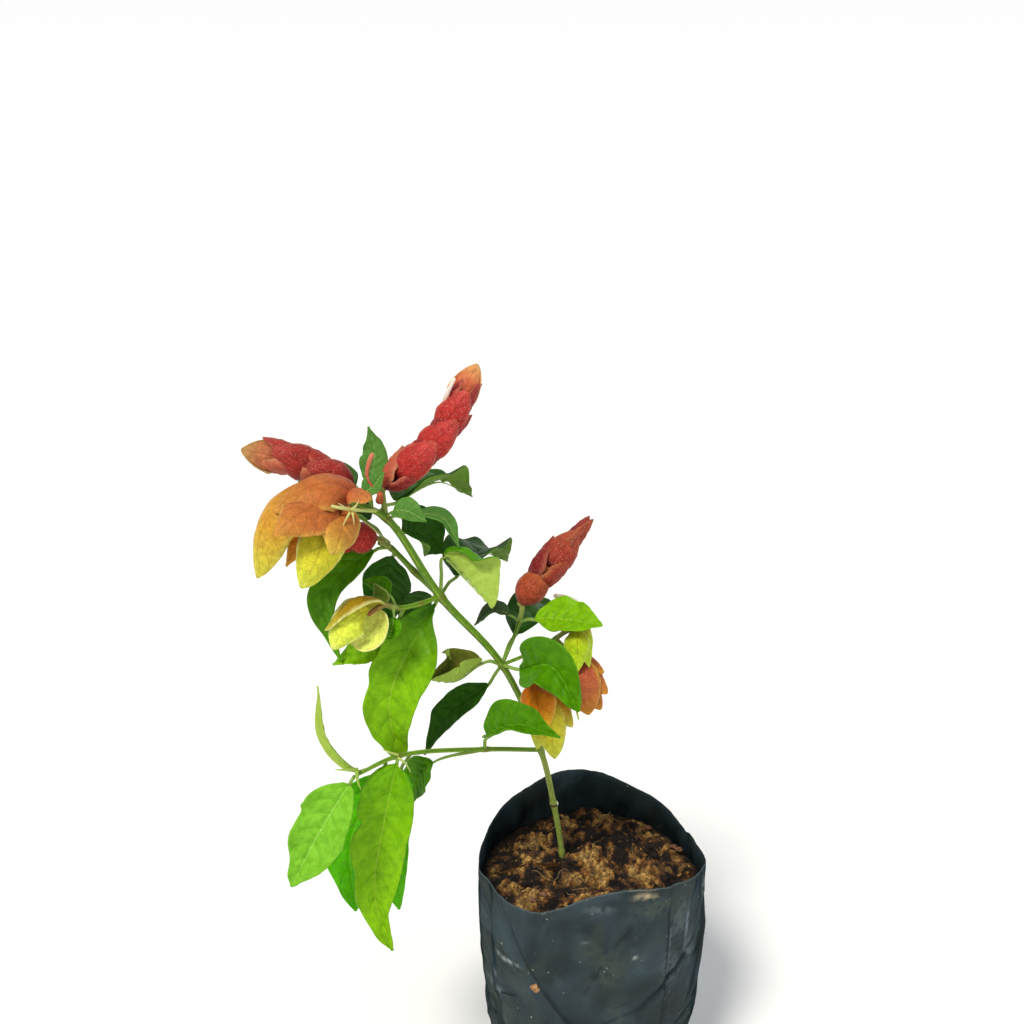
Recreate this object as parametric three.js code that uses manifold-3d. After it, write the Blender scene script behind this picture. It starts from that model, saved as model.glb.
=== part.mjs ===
// A flowering shrimp plant in its black film grow bag: bag, soil, one main stem with its side
// branches, a node for every leaf, and a node for every flower spike with its overlapping bracts.
// Millimetres, +Z up. The origin is the middle of the bag's flat base, +X is right, -Y is front.
import * as THREE from "three";
import { mergeVertices } from "three/addons/utils/BufferGeometryUtils.js";
import Module from "manifold-3d";

const wasm = await Module();
wasm.setup();

// ---------------------------------------------------------------- driving dimensions
const BAG_RADIUS = 48;
const BASE_RADIUS = 40;
const LIP_HEIGHT = 119;
const FILM = 0.8;
const SOIL_HEIGHT = 102;
const CLOD_HEIGHT = 4.5;
const CLODS = 60;
const GAP = 0.3;

const NODE_SWELLING = 1.3;
const BLADE = 0.8;
const BRACT = 0.7;

// ---------------------------------------------------------------- small helpers
const vec = (p) => new THREE.Vector3(...p);
const degrees = THREE.MathUtils.degToRad;
const bell = (x, width) => Math.exp(-((x / width) ** 2));
const through = (...points) => new THREE.CatmullRomCurve3(points.map(vec), false, "centripetal");

// A repeatable stream of numbers from 0 to 1.
function seeded(seed) {
  let state = seed;
  return () => {
    state = (state * 16807) % 2147483647;
    return state / 2147483647;
  };
}

function solidOf(geometry) {
  geometry.deleteAttribute("normal");
  geometry.deleteAttribute("uv");
  const merged = mergeVertices(geometry, 1e-3);
  const vertProperties = merged.attributes.position.array;
  const triVerts = new Uint32Array(merged.index.array);
  return new wasm.Manifold(new wasm.Mesh({ numProp: 3, vertProperties, triVerts }));
}

function geometryOf(solid) {
  const { vertProperties, triVerts } = solid.getMesh();
  const geometry = new THREE.BufferGeometry();
  geometry.setAttribute("position", new THREE.BufferAttribute(vertProperties, 3));
  geometry.setIndex(new THREE.BufferAttribute(triVerts, 1));
  geometry.computeVertexNormals();
  return geometry;
}

// What is left of a solid that keeps clear of its neighbours, without loose scraps.
function clearOf(solid, neighbours) {
  const cut = neighbours.reduce((rest, neighbour) => rest.subtract(neighbour), solid);
  return cut.decompose().sort((a, b) => b.volume() - a.volume())[0];
}

// A tube whose rings follow a curve: each station is [share of the way through its points, radius].
function tube(curve, stations, sides) {
  const rings = stations.length - 1;
  const geometry = new THREE.CylinderGeometry(1, 1, 1, sides, rings);
  const { position } = geometry.attributes;
  for (let i = 0; i < position.count; i += 1) {
    const [share, radius] = stations[Math.round((position.getY(i) + 0.5) * rings)];
    const forward = curve.getTangent(share);
    const right = new THREE.Vector3(0, 1, 0).cross(forward).normalize();
    const back = right.clone().cross(forward);
    const point = curve.getPoint(share);
    point.addScaledVector(right, position.getX(i) * radius);
    point.addScaledVector(back, position.getZ(i) * radius);
    position.setXYZ(i, point.x, point.y, point.z);
  }
  return solidOf(geometry);
}

// A thin closed sheet over a grid. place(side, share) gives, for side -1 to 1 across and share 0
// to 1 along, a point of the upper face, the way that face looks and the thickness there. Both
// faces are split into triangles alike.
function sheet(across, along, place) {
  const grid = new THREE.PlaneGeometry(2, 1, across, along);
  const { position } = grid.attributes;
  const upper = [];
  const lower = [];
  for (let i = 0; i < position.count; i += 1) {
    const { point, facing, thickness } = place(position.getX(i), 0.5 - position.getY(i));
    upper.push(point);
    lower.push(point.clone().addScaledVector(facing, -thickness));
  }
  const faces = Array.from(grid.index.array);
  const indices = [...faces];
  for (let i = 0; i < faces.length; i += 3) {
    indices.push(...[faces[i], faces[i + 2], faces[i + 1]].map((f) => f + upper.length));
  }
  const row = across + 1;
  const rim = [];
  for (let i = 0; i < across; i += 1) rim.push(along * row + i);
  for (let j = along; j > 0; j -= 1) rim.push(j * row + across);
  for (let i = across; i > 0; i -= 1) rim.push(i);
  for (let j = 0; j < along; j += 1) rim.push(j * row);
  rim.forEach((from, k) => {
    const to = rim[(k + 1) % rim.length];
    indices.push(to, from, from + upper.length);
    indices.push(to, from + upper.length, to + upper.length);
  });
  const geometry = new THREE.BufferGeometry().setFromPoints([...upper, ...lower]);
  geometry.setIndex(indices);
  return solidOf(geometry);
}

// ---------------------------------------------------------------- blades
// Half width of an ovate blade as a share of its widest, a bit over a third of the way up. A
// larger `tipping` draws the tip out longer.
const WIDEST = 0.38;
function ovate(share, tipping) {
  const rise = (WIDEST * tipping) / (1 - WIDEST);
  return (share / WIDEST) ** rise * ((1 - share) / (1 - WIDEST)) ** tipping;
}

// How far a blade's edge that runs through stops of [reach, half width] stands out at a reach.
function halfWidth(stops, reach) {
  const whole = [[0, 0], ...stops, [1, 0]];
  const next = Math.max(whole.findIndex(([at]) => at >= reach), 1);
  const [low, high] = [whole[next - 1], whole[next]];
  return low[1] + ((high[1] - low[1]) * (reach - low[0])) / (high[0] - low[0]);
}

// A leaf or bract along a rib. Each half turns up by `fold` degrees at the rib and bends on by
// `curl` degrees to its edge, which waves up and down by `wave`. The first part of the rib, up to
// `stalk`, is its petiole, and `foot` is half the width there. `edges` are the stops of its two
// halves, where it isn't plainly ovate.
function blade(options) {
  const { rib, facing, width, edges, stalk = 0, fold, curl, wave = 0 } = options;
  const { rows = 9, across = 4, tipping = 1.25, thickness = BLADE, foot = 0.7 } = options;
  const stalkRows = stalk > 0 ? 2 : 0;
  const bent = degrees(curl);
  return sheet(across, rows, (side, share) => {
    const row = Math.round(share * rows) - stalkRows;
    const reach = Math.max(row / (rows - stalkRows), 0);
    const along = row < 0 ? stalk * (1 + row / stalkRows) : stalk + (1 - stalk) * reach;
    const point = rib.getPointAt(along);
    const forward = rib.getTangentAt(along);
    const look = vec(facing);
    const up = look.addScaledVector(forward, -look.dot(forward)).normalize();
    const right = up.clone().cross(forward);
    const plain = (width / 2) * ovate(reach, tipping);
    const spread = edges ? halfWidth(edges[side < 0 ? 0 : 1], reach) : plain;
    const onBlade = spread > foot;
    const half = onBlade ? spread : Math.max(foot * (1 - reach), 0.35);
    const out = (half / bent) * Math.sin(bent * Math.abs(side));
    const lift = (half / bent) * (1 - Math.cos(bent * side));
    const tilt = onBlade ? degrees(fold) : 0;
    const sway = onBlade ? wave * side * side * Math.sin(reach * 17 + 2 * side) : 0;
    point.addScaledVector(right, Math.sign(side) * (out * Math.cos(tilt) - lift * Math.sin(tilt)));
    point.addScaledVector(up, out * Math.sin(tilt) + lift * Math.cos(tilt) + sway);
    return { point, facing: up, thickness: onBlade ? thickness : Math.max(thickness, 2 * foot) };
  });
}

// ---------------------------------------------------------------- grow bag and soil
// The bag's wall leans out from its round base, with shallow dents and upright creases.
function bagRadius(angle, height) {
  const climb = Math.sin((Math.min(height / 80, 1) * Math.PI) / 2) ** 0.7;
  const depth = Math.min(height / 30, 1);
  const dents = Math.sin(3 * angle + 1 + height / 45) + 0.5 * Math.sin(7 * angle - height / 30);
  const crease = 2.2 * bell(angle + 2.75, 0.14) + 1.4 * bell(angle - 1.1, 0.16);
  return BASE_RADIUS + (BAG_RADIUS - BASE_RADIUS) * climb + depth * (dents - crease);
}

// The cut edge of the film rises at the front and back and dips at the sides and front left.
function lipHeight(angle) {
  const wave = 7 * Math.cos(2 * (angle - degrees(100))) + 3 * Math.cos(angle + degrees(75));
  const dip = 5 * bell(angle + degrees(125), degrees(20)) + 3.5 * bell(angle + degrees(114), 0.4);
  return LIP_HEIGHT + wave - dip;
}

// A round body that follows the bag: each ring is [share of the radius, millimetres inside the
// bag's face, height], and heightAt(height, angle, share) bends the rings up and down.
function roundBody(rings, segments, heightAt) {
  const profile = rings.map(([share], ring) => new THREE.Vector2(share > 0 ? 1 : 0, ring));
  const geometry = new THREE.LatheGeometry(profile, segments).rotateX(Math.PI / 2);
  const { position } = geometry.attributes;
  for (let i = 0; i < position.count; i += 1) {
    const [share, inset, level] = rings[Math.round(position.getZ(i))];
    const angle = Math.atan2(position.getY(i), position.getX(i));
    const height = heightAt(level, angle, share);
    const radius = share * (bagRadius(angle, height) - inset);
    position.setXYZ(i, radius * Math.cos(angle), radius * Math.sin(angle), height);
  }
  return solidOf(geometry);
}

const WALL_LEVELS = [1.5, 6, 18, 40, 65, 90, 108];
const BAG_SEGMENTS = 36;

function growBag() {
  const outside = [...WALL_LEVELS, LIP_HEIGHT].map((level) => [1, 0, level]);
  const inside = [...WALL_LEVELS, LIP_HEIGHT].reverse().map((level) => [1, FILM, level]);
  const rings = [[0, 0, 0], [0.95, 0, 0], ...outside, ...inside, [0.93, 0, FILM], [0, 0, FILM]];
  return roundBody(rings, BAG_SEGMENTS, (level, angle) => {
    const rise = (lipHeight(angle) - LIP_HEIGHT) * (level / LIP_HEIGHT) ** 4;
    return level + rise;
  });
}

// Clods of damp soil, as round caps of several sizes that stand against each other.
const random = seeded(41);
const clods = Array.from({ length: CLODS }, () => {
  const angle = random() * 2 * Math.PI;
  const reach = Math.sqrt(random()) * (BAG_RADIUS - 4);
  const radius = 5 + 4.5 * random();
  const height = CLOD_HEIGHT * (0.5 + random());
  return { x: reach * Math.cos(angle), y: reach * Math.sin(angle), radius, height };
});

function soilRelief(x, y) {
  const rises = clods.map((clod) => {
    const near = 1 - Math.hypot(x - clod.x, y - clod.y) ** 2 / clod.radius ** 2;
    return clod.height * Math.sqrt(Math.max(near, 0));
  });
  return Math.max(...rises);
}

function soil() {
  const inset = FILM + 2 * GAP;
  const side = [6, 18, 40, 65, 90].map((level) => [1, inset, level]);
  const top = [1, 0.92, 0.8, 0.67, 0.54, 0.41, 0.27, 0.13, 0].map((s) => [s, inset, SOIL_HEIGHT]);
  const rings = [[0, inset, inset], [0.9, inset, inset], ...side, ...top];
  return roundBody(rings, BAG_SEGMENTS, (level, angle, share) => {
    if (level < SOIL_HEIGHT) return level;
    const reach = share * (BAG_RADIUS - inset);
    return level + soilRelief(reach * Math.cos(angle), reach * Math.sin(angle)) - 2 * share ** 6;
  });
}

// ---------------------------------------------------------------- stems
// The nodes of the main stem, from the soil up, where leaves and branches leave it.
const ROOTED = [-9, 12, 50];
const COLLAR = [-12, 11, 104];
const SCAR = [-16, 9, 131];
const LOW = [-22, 4, 161];
const MIDDLE = [-38, -8, 207];
const FORK = [-61, -20, 242];
const UPPER = [-79, -30, 277];
const CROWN = [-89, -34, 284];
// The nodes of its side branches.
const LOW_FORK = [-45, -12, 171];
const LOW_END = [-77, -38, 184];
const LOW_TIP = [-92, -50, 183];
const TWIN = [-80, -13, 259];
const FRONT_NODE = [-76, -33, 243];
const RIGHT_NODE = [-31, 2, 221];
const STALKS_NODE = [-17, -7, 218];

const RING = 3;

// A stem through its nodes, with a thicker ring at each one; one radius for every point.
function stem(points, radii, sides, extra = 0) {
  const curve = through(...points);
  const last = points.length - 1;
  const span = (i, j) => RING / vec(points[i]).distanceTo(vec(points[j]));
  const middle = (i) => [i + 0.5, (radii[i] + radii[i + 1]) / 2];
  const stations = [[0, radii[0]], middle(0)];
  for (let i = 1; i < last; i += 1) {
    stations.push([i - span(i, i - 1), radii[i]], [i, radii[i] * NODE_SWELLING]);
    stations.push([i + span(i, i + 1), radii[i]], middle(i));
  }
  stations.push([last, radii[last]]);
  return tube(curve, stations.map(([at, radius]) => [at / last, radius + extra]), sides);
}

const STEMS = {
  main_stem: [
    [ROOTED, COLLAR, SCAR, LOW, MIDDLE, FORK, UPPER, CROWN],
    [1.05, 1.15, 1.15, 1.2, 1.3, 1.5, 1.25, 1.05],
  ],
  low_branch: [
    [LOW, LOW_FORK, LOW_END, LOW_TIP],
    [1, 1, 0.9, 0.7],
  ],
  twin_branch: [
    [FORK, [-71, -11, 248], TWIN, [-84, -16, 262]],
    [1.1, 1.1, 1, 0.8],
  ],
  front_branch: [
    [FORK, [-68, -27, 242], FRONT_NODE, [-79, -34, 244]],
    [1, 0.9, 0.9, 0.8],
  ],
  right_branch: [
    [MIDDLE, RIGHT_NODE, [-30, 4, 227]],
    [0.8, 0.7, 0.7],
  ],
  stalk_branch: [
    [MIDDLE, [-27, -4, 210], STALKS_NODE, [-9, -13, 226]],
    [0.75, 0.7, 0.65, 0.6],
  ],
};

// ---------------------------------------------------------------- colours
const coloured = (color, roughness) => new THREE.MeshStandardMaterial({ color, roughness });
const film = coloured(0x20282c, 0.35);
const earth = coloured(0x7b5331, 0.95);
const green_stem = coloured(0x7f9c3e, 0.55);
const deep = coloured(0x2f6f22, 0.35);
const fresh = coloured(0x5f9f2c, 0.4);
const pale = coloured(0x9dc46e, 0.5);
const red = coloured(0xb8403c, 0.6);
const salmon = coloured(0xd9795a, 0.6);
const amber = coloured(0xdf9a3c, 0.6);
const lime = coloured(0xc3cf3f, 0.6);

// ---------------------------------------------------------------- leaves
// Each leaf: the points of its rib from the stem to its tip, of which the second is where the
// blade begins, its width, the way its upper face looks, its colour, and how it folds and waves.
const flat = { fold: 8, curl: 20, wave: 0.6, rows: 7 };
const wavy = { fold: 12, curl: 25, wave: 1.4, rows: 9 };
const folded = { fold: 32, curl: 25, wave: 0.8, rows: 7 };
const small = { fold: 14, curl: 20, rows: 6, across: 2, foot: 0.5 };
const LEAVES = {
  leaf_low_over: {
    rib: [LOW_FORK, [-44, -16, 180], [-32, -25, 190], [-16, -36, 191]],
    width: 20, facing: [-0.2, -0.5, 0.85], colour: deep, ...folded,
  },
  leaf_low_under: {
    rib: [LOW_FORK, [-66, -20, 170], [-72, -18, 160], [-75, -18, 149]],
    width: 15, facing: [-0.6, -0.7, 0.4], colour: deep, ...flat,
  },
  leaf_low_front: {
    rib: [LOW_END, [-77.5, -41, 182], [-84.5, -46, 150], [-87, -49, 128], [-80.5, -53, 106]],
    edges: [
      [
        [0.04, 7.5], [0.1, 10.9], [0.2, 11.7], [0.32, 9.4], [0.45, 11.7],
        [0.6, 7.6], [0.75, 6.8], [0.88, 3.8], [0.96, 1.4],
      ],
      [
        [0.04, 5.1], [0.1, 8.6], [0.2, 11], [0.32, 11.1], [0.45, 11.1],
        [0.6, 10], [0.75, 6.3], [0.88, 2.8], [0.96, 1],
      ],
    ],
    width: 24, facing: [0.05, -1, 0.25], colour: fresh, ...wavy,
  },
  leaf_low_behind: {
    rib: [[-81, -41, 185], [-84, -36, 174], [-97, -36, 145], [-96, -41, 115]],
    width: 24, facing: [0, -1, 0.35], colour: deep, ...flat, tipping: 0.9,
  },
  leaf_low_hidden: {
    rib: [[-73, -34, 182], [-77, -29, 172], [-83, -27, 138], [-80, -30, 107]],
    width: 17, facing: [0.1, -1, 0.2], colour: fresh, ...flat, tipping: 0.8,
  },
  leaf_low_left: {
    rib: [LOW_TIP, [-94, -53, 181], [-105, -58, 164], [-116, -62, 143]],
    edges: [
      [
        [0.04, 4.6], [0.1, 7.7], [0.2, 10], [0.32, 11.2], [0.45, 9.7],
        [0.6, 8.8], [0.75, 6.4], [0.88, 3.5], [0.96, 1.4],
      ],
      [
        [0.04, 4.1], [0.1, 6.3], [0.2, 8.8], [0.32, 11.4], [0.45, 12.5],
        [0.6, 11.1], [0.75, 8.1], [0.88, 4.4], [0.96, 1.6],
      ],
    ],
    width: 22, facing: [-0.2, -0.9, 0.4], colour: fresh, ...wavy,
  },
  leaf_low_curled: {
    rib: [[-88, -47, 184], [-92, -49, 184.5], [-102, -49, 197.5], [-104.5, -46, 218]],
    width: 6.5, facing: [-0.7, -0.5, 0.3], colour: pale, ...small,
  },
  leaf_middle_left: {
    rib: [MIDDLE, [-44, -8, 198.5], [-60, -9, 185.5], [-69.5, -12, 168.5]],
    width: 12.5, facing: [-0.3, -0.7, 0.65], colour: deep, ...flat,
  },
  leaf_middle_small: {
    rib: [MIDDLE, [-46, -14, 212], [-55.5, -20, 207.5], [-64.5, -25, 210]],
    edges: [
      [
        [0.04, 2.9], [0.1, 5.1], [0.2, 8.1], [0.32, 10.8], [0.45, 11.5],
        [0.6, 10.6], [0.75, 7.9], [0.88, 4.5], [0.96, 1.9],
      ],
      [
        [0.04, 2.5], [0.1, 4.4], [0.2, 6.9], [0.32, 9], [0.45, 8.9],
        [0.6, 8], [0.75, 5.6], [0.88, 3.1], [0.96, 1.3],
      ],
    ],
    width: 20, facing: [-0.1, -0.1, 1],
    colour: pale, ...small, fold: 56, wave: 0.3, rows: 7, across: 4,
  },
  leaf_middle_right: {
    rib: [MIDDLE, [-31, -16, 209], [-19, -29, 217], [-9, -38, 203]],
    edges: [
      [
        [0.04, 2.5], [0.1, 5.5], [0.2, 8.8], [0.32, 10.9], [0.45, 11.2],
        [0.6, 9.4], [0.75, 6.3], [0.88, 3.4], [0.96, 1.3],
      ],
      [
        [0.04, 1.7], [0.1, 3.2], [0.2, 6.4], [0.32, 10.5], [0.45, 13.4],
        [0.6, 12.6], [0.75, 9.2], [0.88, 5.2], [0.96, 1.9],
      ],
    ],
    width: 27, facing: [-0.3, -0.8, 0.45], colour: deep, ...folded,
  },
  leaf_middle_back: {
    rib: [MIDDLE, [-33, 8, 213], [-20, 28, 214], [-6, 48, 198]],
    width: 26, facing: [0.2, 0.3, 0.9], colour: deep, ...wavy,
  },
  leaf_right_arched: {
    rib: [RIGHT_NODE, [-35.2, 4, 223.5], [-41.2, 5, 225], [-49.3, 6, 217.7]],
    width: 9, facing: [-0.1, -0.25, 1], colour: deep, ...small,
  },
  leaf_right_pale: {
    rib: [RIGHT_NODE, [-25, -3, 225], [-12, -13, 229], [0, -22, 231]],
    edges: [
      [
        [0.04, 1.2], [0.1, 2.6], [0.2, 4.6], [0.32, 6.4], [0.45, 7.3],
        [0.6, 6.8], [0.75, 5.2], [0.88, 3], [0.96, 1.2],
      ],
      [
        [0.04, 2.6], [0.1, 5], [0.2, 7.6], [0.32, 8.7], [0.45, 8.9],
        [0.6, 7.8], [0.75, 5.9], [0.88, 3.2], [0.96, 1.2],
      ],
    ],
    width: 19, facing: [0, -0.6, 0.8], colour: fresh, ...flat,
  },
  leaf_fork_front: {
    rib: [FORK, [-63, -22, 239.5], [-79, -33, 210], [-80, -33, 195], [-76, -30, 179]],
    edges: [
      [
        [0.04, 3.7], [0.1, 6.7], [0.2, 10.6], [0.32, 10.6], [0.45, 11],
        [0.6, 9.8], [0.75, 9.1], [0.88, 5.4], [0.96, 2.7],
      ],
      [
        [0.04, 1.5], [0.1, 3.9], [0.2, 10], [0.32, 13.6], [0.45, 13.5],
        [0.6, 11.2], [0.75, 7.9], [0.88, 4.9], [0.96, 2.7],
      ],
    ],
    width: 26, facing: [0, -0.9, 0.45], colour: fresh, ...wavy,
  },
  leaf_fork_turned: {
    rib: [FORK, [-59, -14, 256], [-51, -17, 249], [-41, -21, 238]],
    width: 28, facing: [0.45, 0.75, 0.5], colour: pale, ...folded, fold: 48, tipping: 0.85,
  },
  leaf_fork_dark: {
    rib: [FORK, [-65, -12, 238], [-71, -5, 228], [-78, -3, 213]],
    width: 15, facing: [0, -0.8, 0.5], colour: deep, ...flat,
  },
  leaf_fork_back: {
    rib: [[-60, -19, 243], [-56, -6, 245], [-46, 17, 246], [-36, 37, 233]],
    width: 26, facing: [0.1, 0.3, 0.9], colour: deep, ...wavy,
  },
  leaf_front_small: {
    rib: [FRONT_NODE, [-79, -29, 247], [-84, -27, 250], [-89, -26, 251]],
    width: 8, facing: [-0.2, -0.4, 0.9], colour: fresh, ...small,
  },
  leaf_front_narrow: {
    rib: [[-77, -34, 244], [-77, -37, 241], [-77.5, -39, 237.5], [-79, -40, 233.5]],
    width: 9, facing: [-0.3, -0.9, 0.2], colour: deep, ...small,
  },
  leaf_front_under: {
    rib: [[-73, -31, 243], [-79, -22.5, 230], [-88, -26, 223.5], [-101, -31, 218]],
    width: 13, facing: [0, -0.8, 0.6], colour: pale, ...flat,
  },
  leaf_twin_long: {
    rib: [TWIN, [-86, -16, 259], [-103, -27, 245], [-98, -33, 221]],
    width: 14, facing: [-0.5, -0.8, 0.3], colour: fresh, ...flat,
  },
  leaf_twin_dark: {
    rib: [[-78, -13, 256], [-80, -6, 252], [-83, -1, 237], [-82, 1, 220]],
    width: 20, facing: [0, -1, 0.2], colour: deep, ...flat,
  },
  leaf_twin_back: {
    rib: [[-82, -12, 261], [-89, -1, 266], [-104, 10, 267], [-122, 20, 253]],
    width: 23, facing: [-0.2, 0.3, 0.9], colour: deep, ...wavy,
  },
  leaf_upper_small: {
    rib: [UPPER, [-76, -33, 281], [-71, -36, 282], [-64, -36, 278]],
    width: 10, facing: [0, -0.6, 0.8], colour: pale, ...small,
  },
  leaf_upper_narrow: {
    rib: [UPPER, [-68, -22, 276], [-59, -17, 272], [-53.5, -16, 260]],
    width: 6.5, facing: [0.2, -0.6, 0.7], colour: pale, ...small,
  },
  leaf_upper_dark: {
    rib: [[-77, -29, 274], [-74, -20, 269], [-68, -9, 263], [-60, -2, 252]],
    width: 20, facing: [0, -0.7, 0.6], colour: deep, ...flat,
  },
  leaf_upper_back: {
    rib: [[-82, -31, 279], [-77, -18, 280], [-62, 3, 281], [-50, 20, 268]],
    width: 24, facing: [0.1, 0.3, 0.9], colour: deep, ...wavy,
  },
  leaf_crown_small: {
    rib: [[-88, -34, 284], [-86, -35, 288], [-83, -33, 290], [-79, -32, 295]],
    width: 8, facing: [-0.3, -0.8, 0.4], colour: pale, ...small,
  },
  leaf_crown_behind: {
    rib: [[-84, -32, 281], [-85, -23, 288], [-84, -14, 297], [-86.5, -11, 305.5]],
    width: 10.5, facing: [-0.1, -1, 0], colour: fresh, ...flat,
  },
  leaf_crown_back: {
    rib: [[-90, -33, 282], [-95, -20, 279], [-104, -2, 283], [-119, 12, 275]],
    width: 20, facing: [-0.2, 0.2, 0.95], colour: deep, ...wavy,
  },
};

function leaf({ rib: points, ...shape }) {
  const rib = through(...points);
  const stalk = vec(points[0]).distanceTo(vec(points[1])) / rib.getLength();
  return blade({ ...shape, rib, stalk });
}

// ---------------------------------------------------------------- flower spikes
// One cupped bract from a point on the spike's core: out by way of `crest`, then to `tip`. It is
// rooted just under the core's face.
const ROOT = 0.45;
const CUP = { fold: 4, curl: 75, rows: 4, across: 2, tipping: 0.62, foot: 0.5 };
function bract([centre, crest, tip, width, facing, form]) {
  const foot = crest.clone().sub(centre).setLength(ROOT).add(centre);
  const rib = new THREE.QuadraticBezierCurve3(foot, crest, tip);
  return blade({ rib, facing, width, thickness: BRACT, ...CUP, ...form });
}

// Bracts in crossed pairs up a core, each pair lying over the next like tiles. `openings` say how
// far the tips of the two crossing rows stand out, `first` is the size of the lowest pair,
// `gaping` how much further out its tips stand, and the last pair closes the end.
function pairedBracts({ core, pairs, length, width, turn, openings, first = 1, gaping = 0 }) {
  const axis = through(...core);
  const made = [];
  for (let pair = 0; pair < pairs; pair += 1) {
    const share = (0.8 * pair) / (pairs - 1);
    const forward = axis.getTangentAt(share);
    const right = new THREE.Vector3(0, 1, 0).cross(forward).normalize();
    const back = right.clone().cross(forward);
    for (const half of [0, 180]) {
      const angle = degrees(turn + 90 * (pair % 2) + half);
      const outward = right.clone().multiplyScalar(Math.cos(angle));
      outward.addScaledVector(back, Math.sin(angle));
      const size = pair > 0 ? 1 - 0.15 * share : first;
      const reach = length * size;
      const foot = axis.getPointAt(share);
      const last = pair === pairs - 1;
      const crest = foot.clone().addScaledVector(forward, 0.2 * reach);
      crest.addScaledVector(outward, (last ? 0.4 : 0.5) * width * size);
      const tip = foot.clone().addScaledVector(forward, reach);
      const opening = openings[pair % 2] + (pair > 0 ? 0 : gaping);
      tip.addScaledVector(outward, (last ? 0.05 : opening) * width);
      made.push(bract([foot, crest, tip, width * size, outward.negate().toArray()]));
    }
  }
  return made;
}

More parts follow.
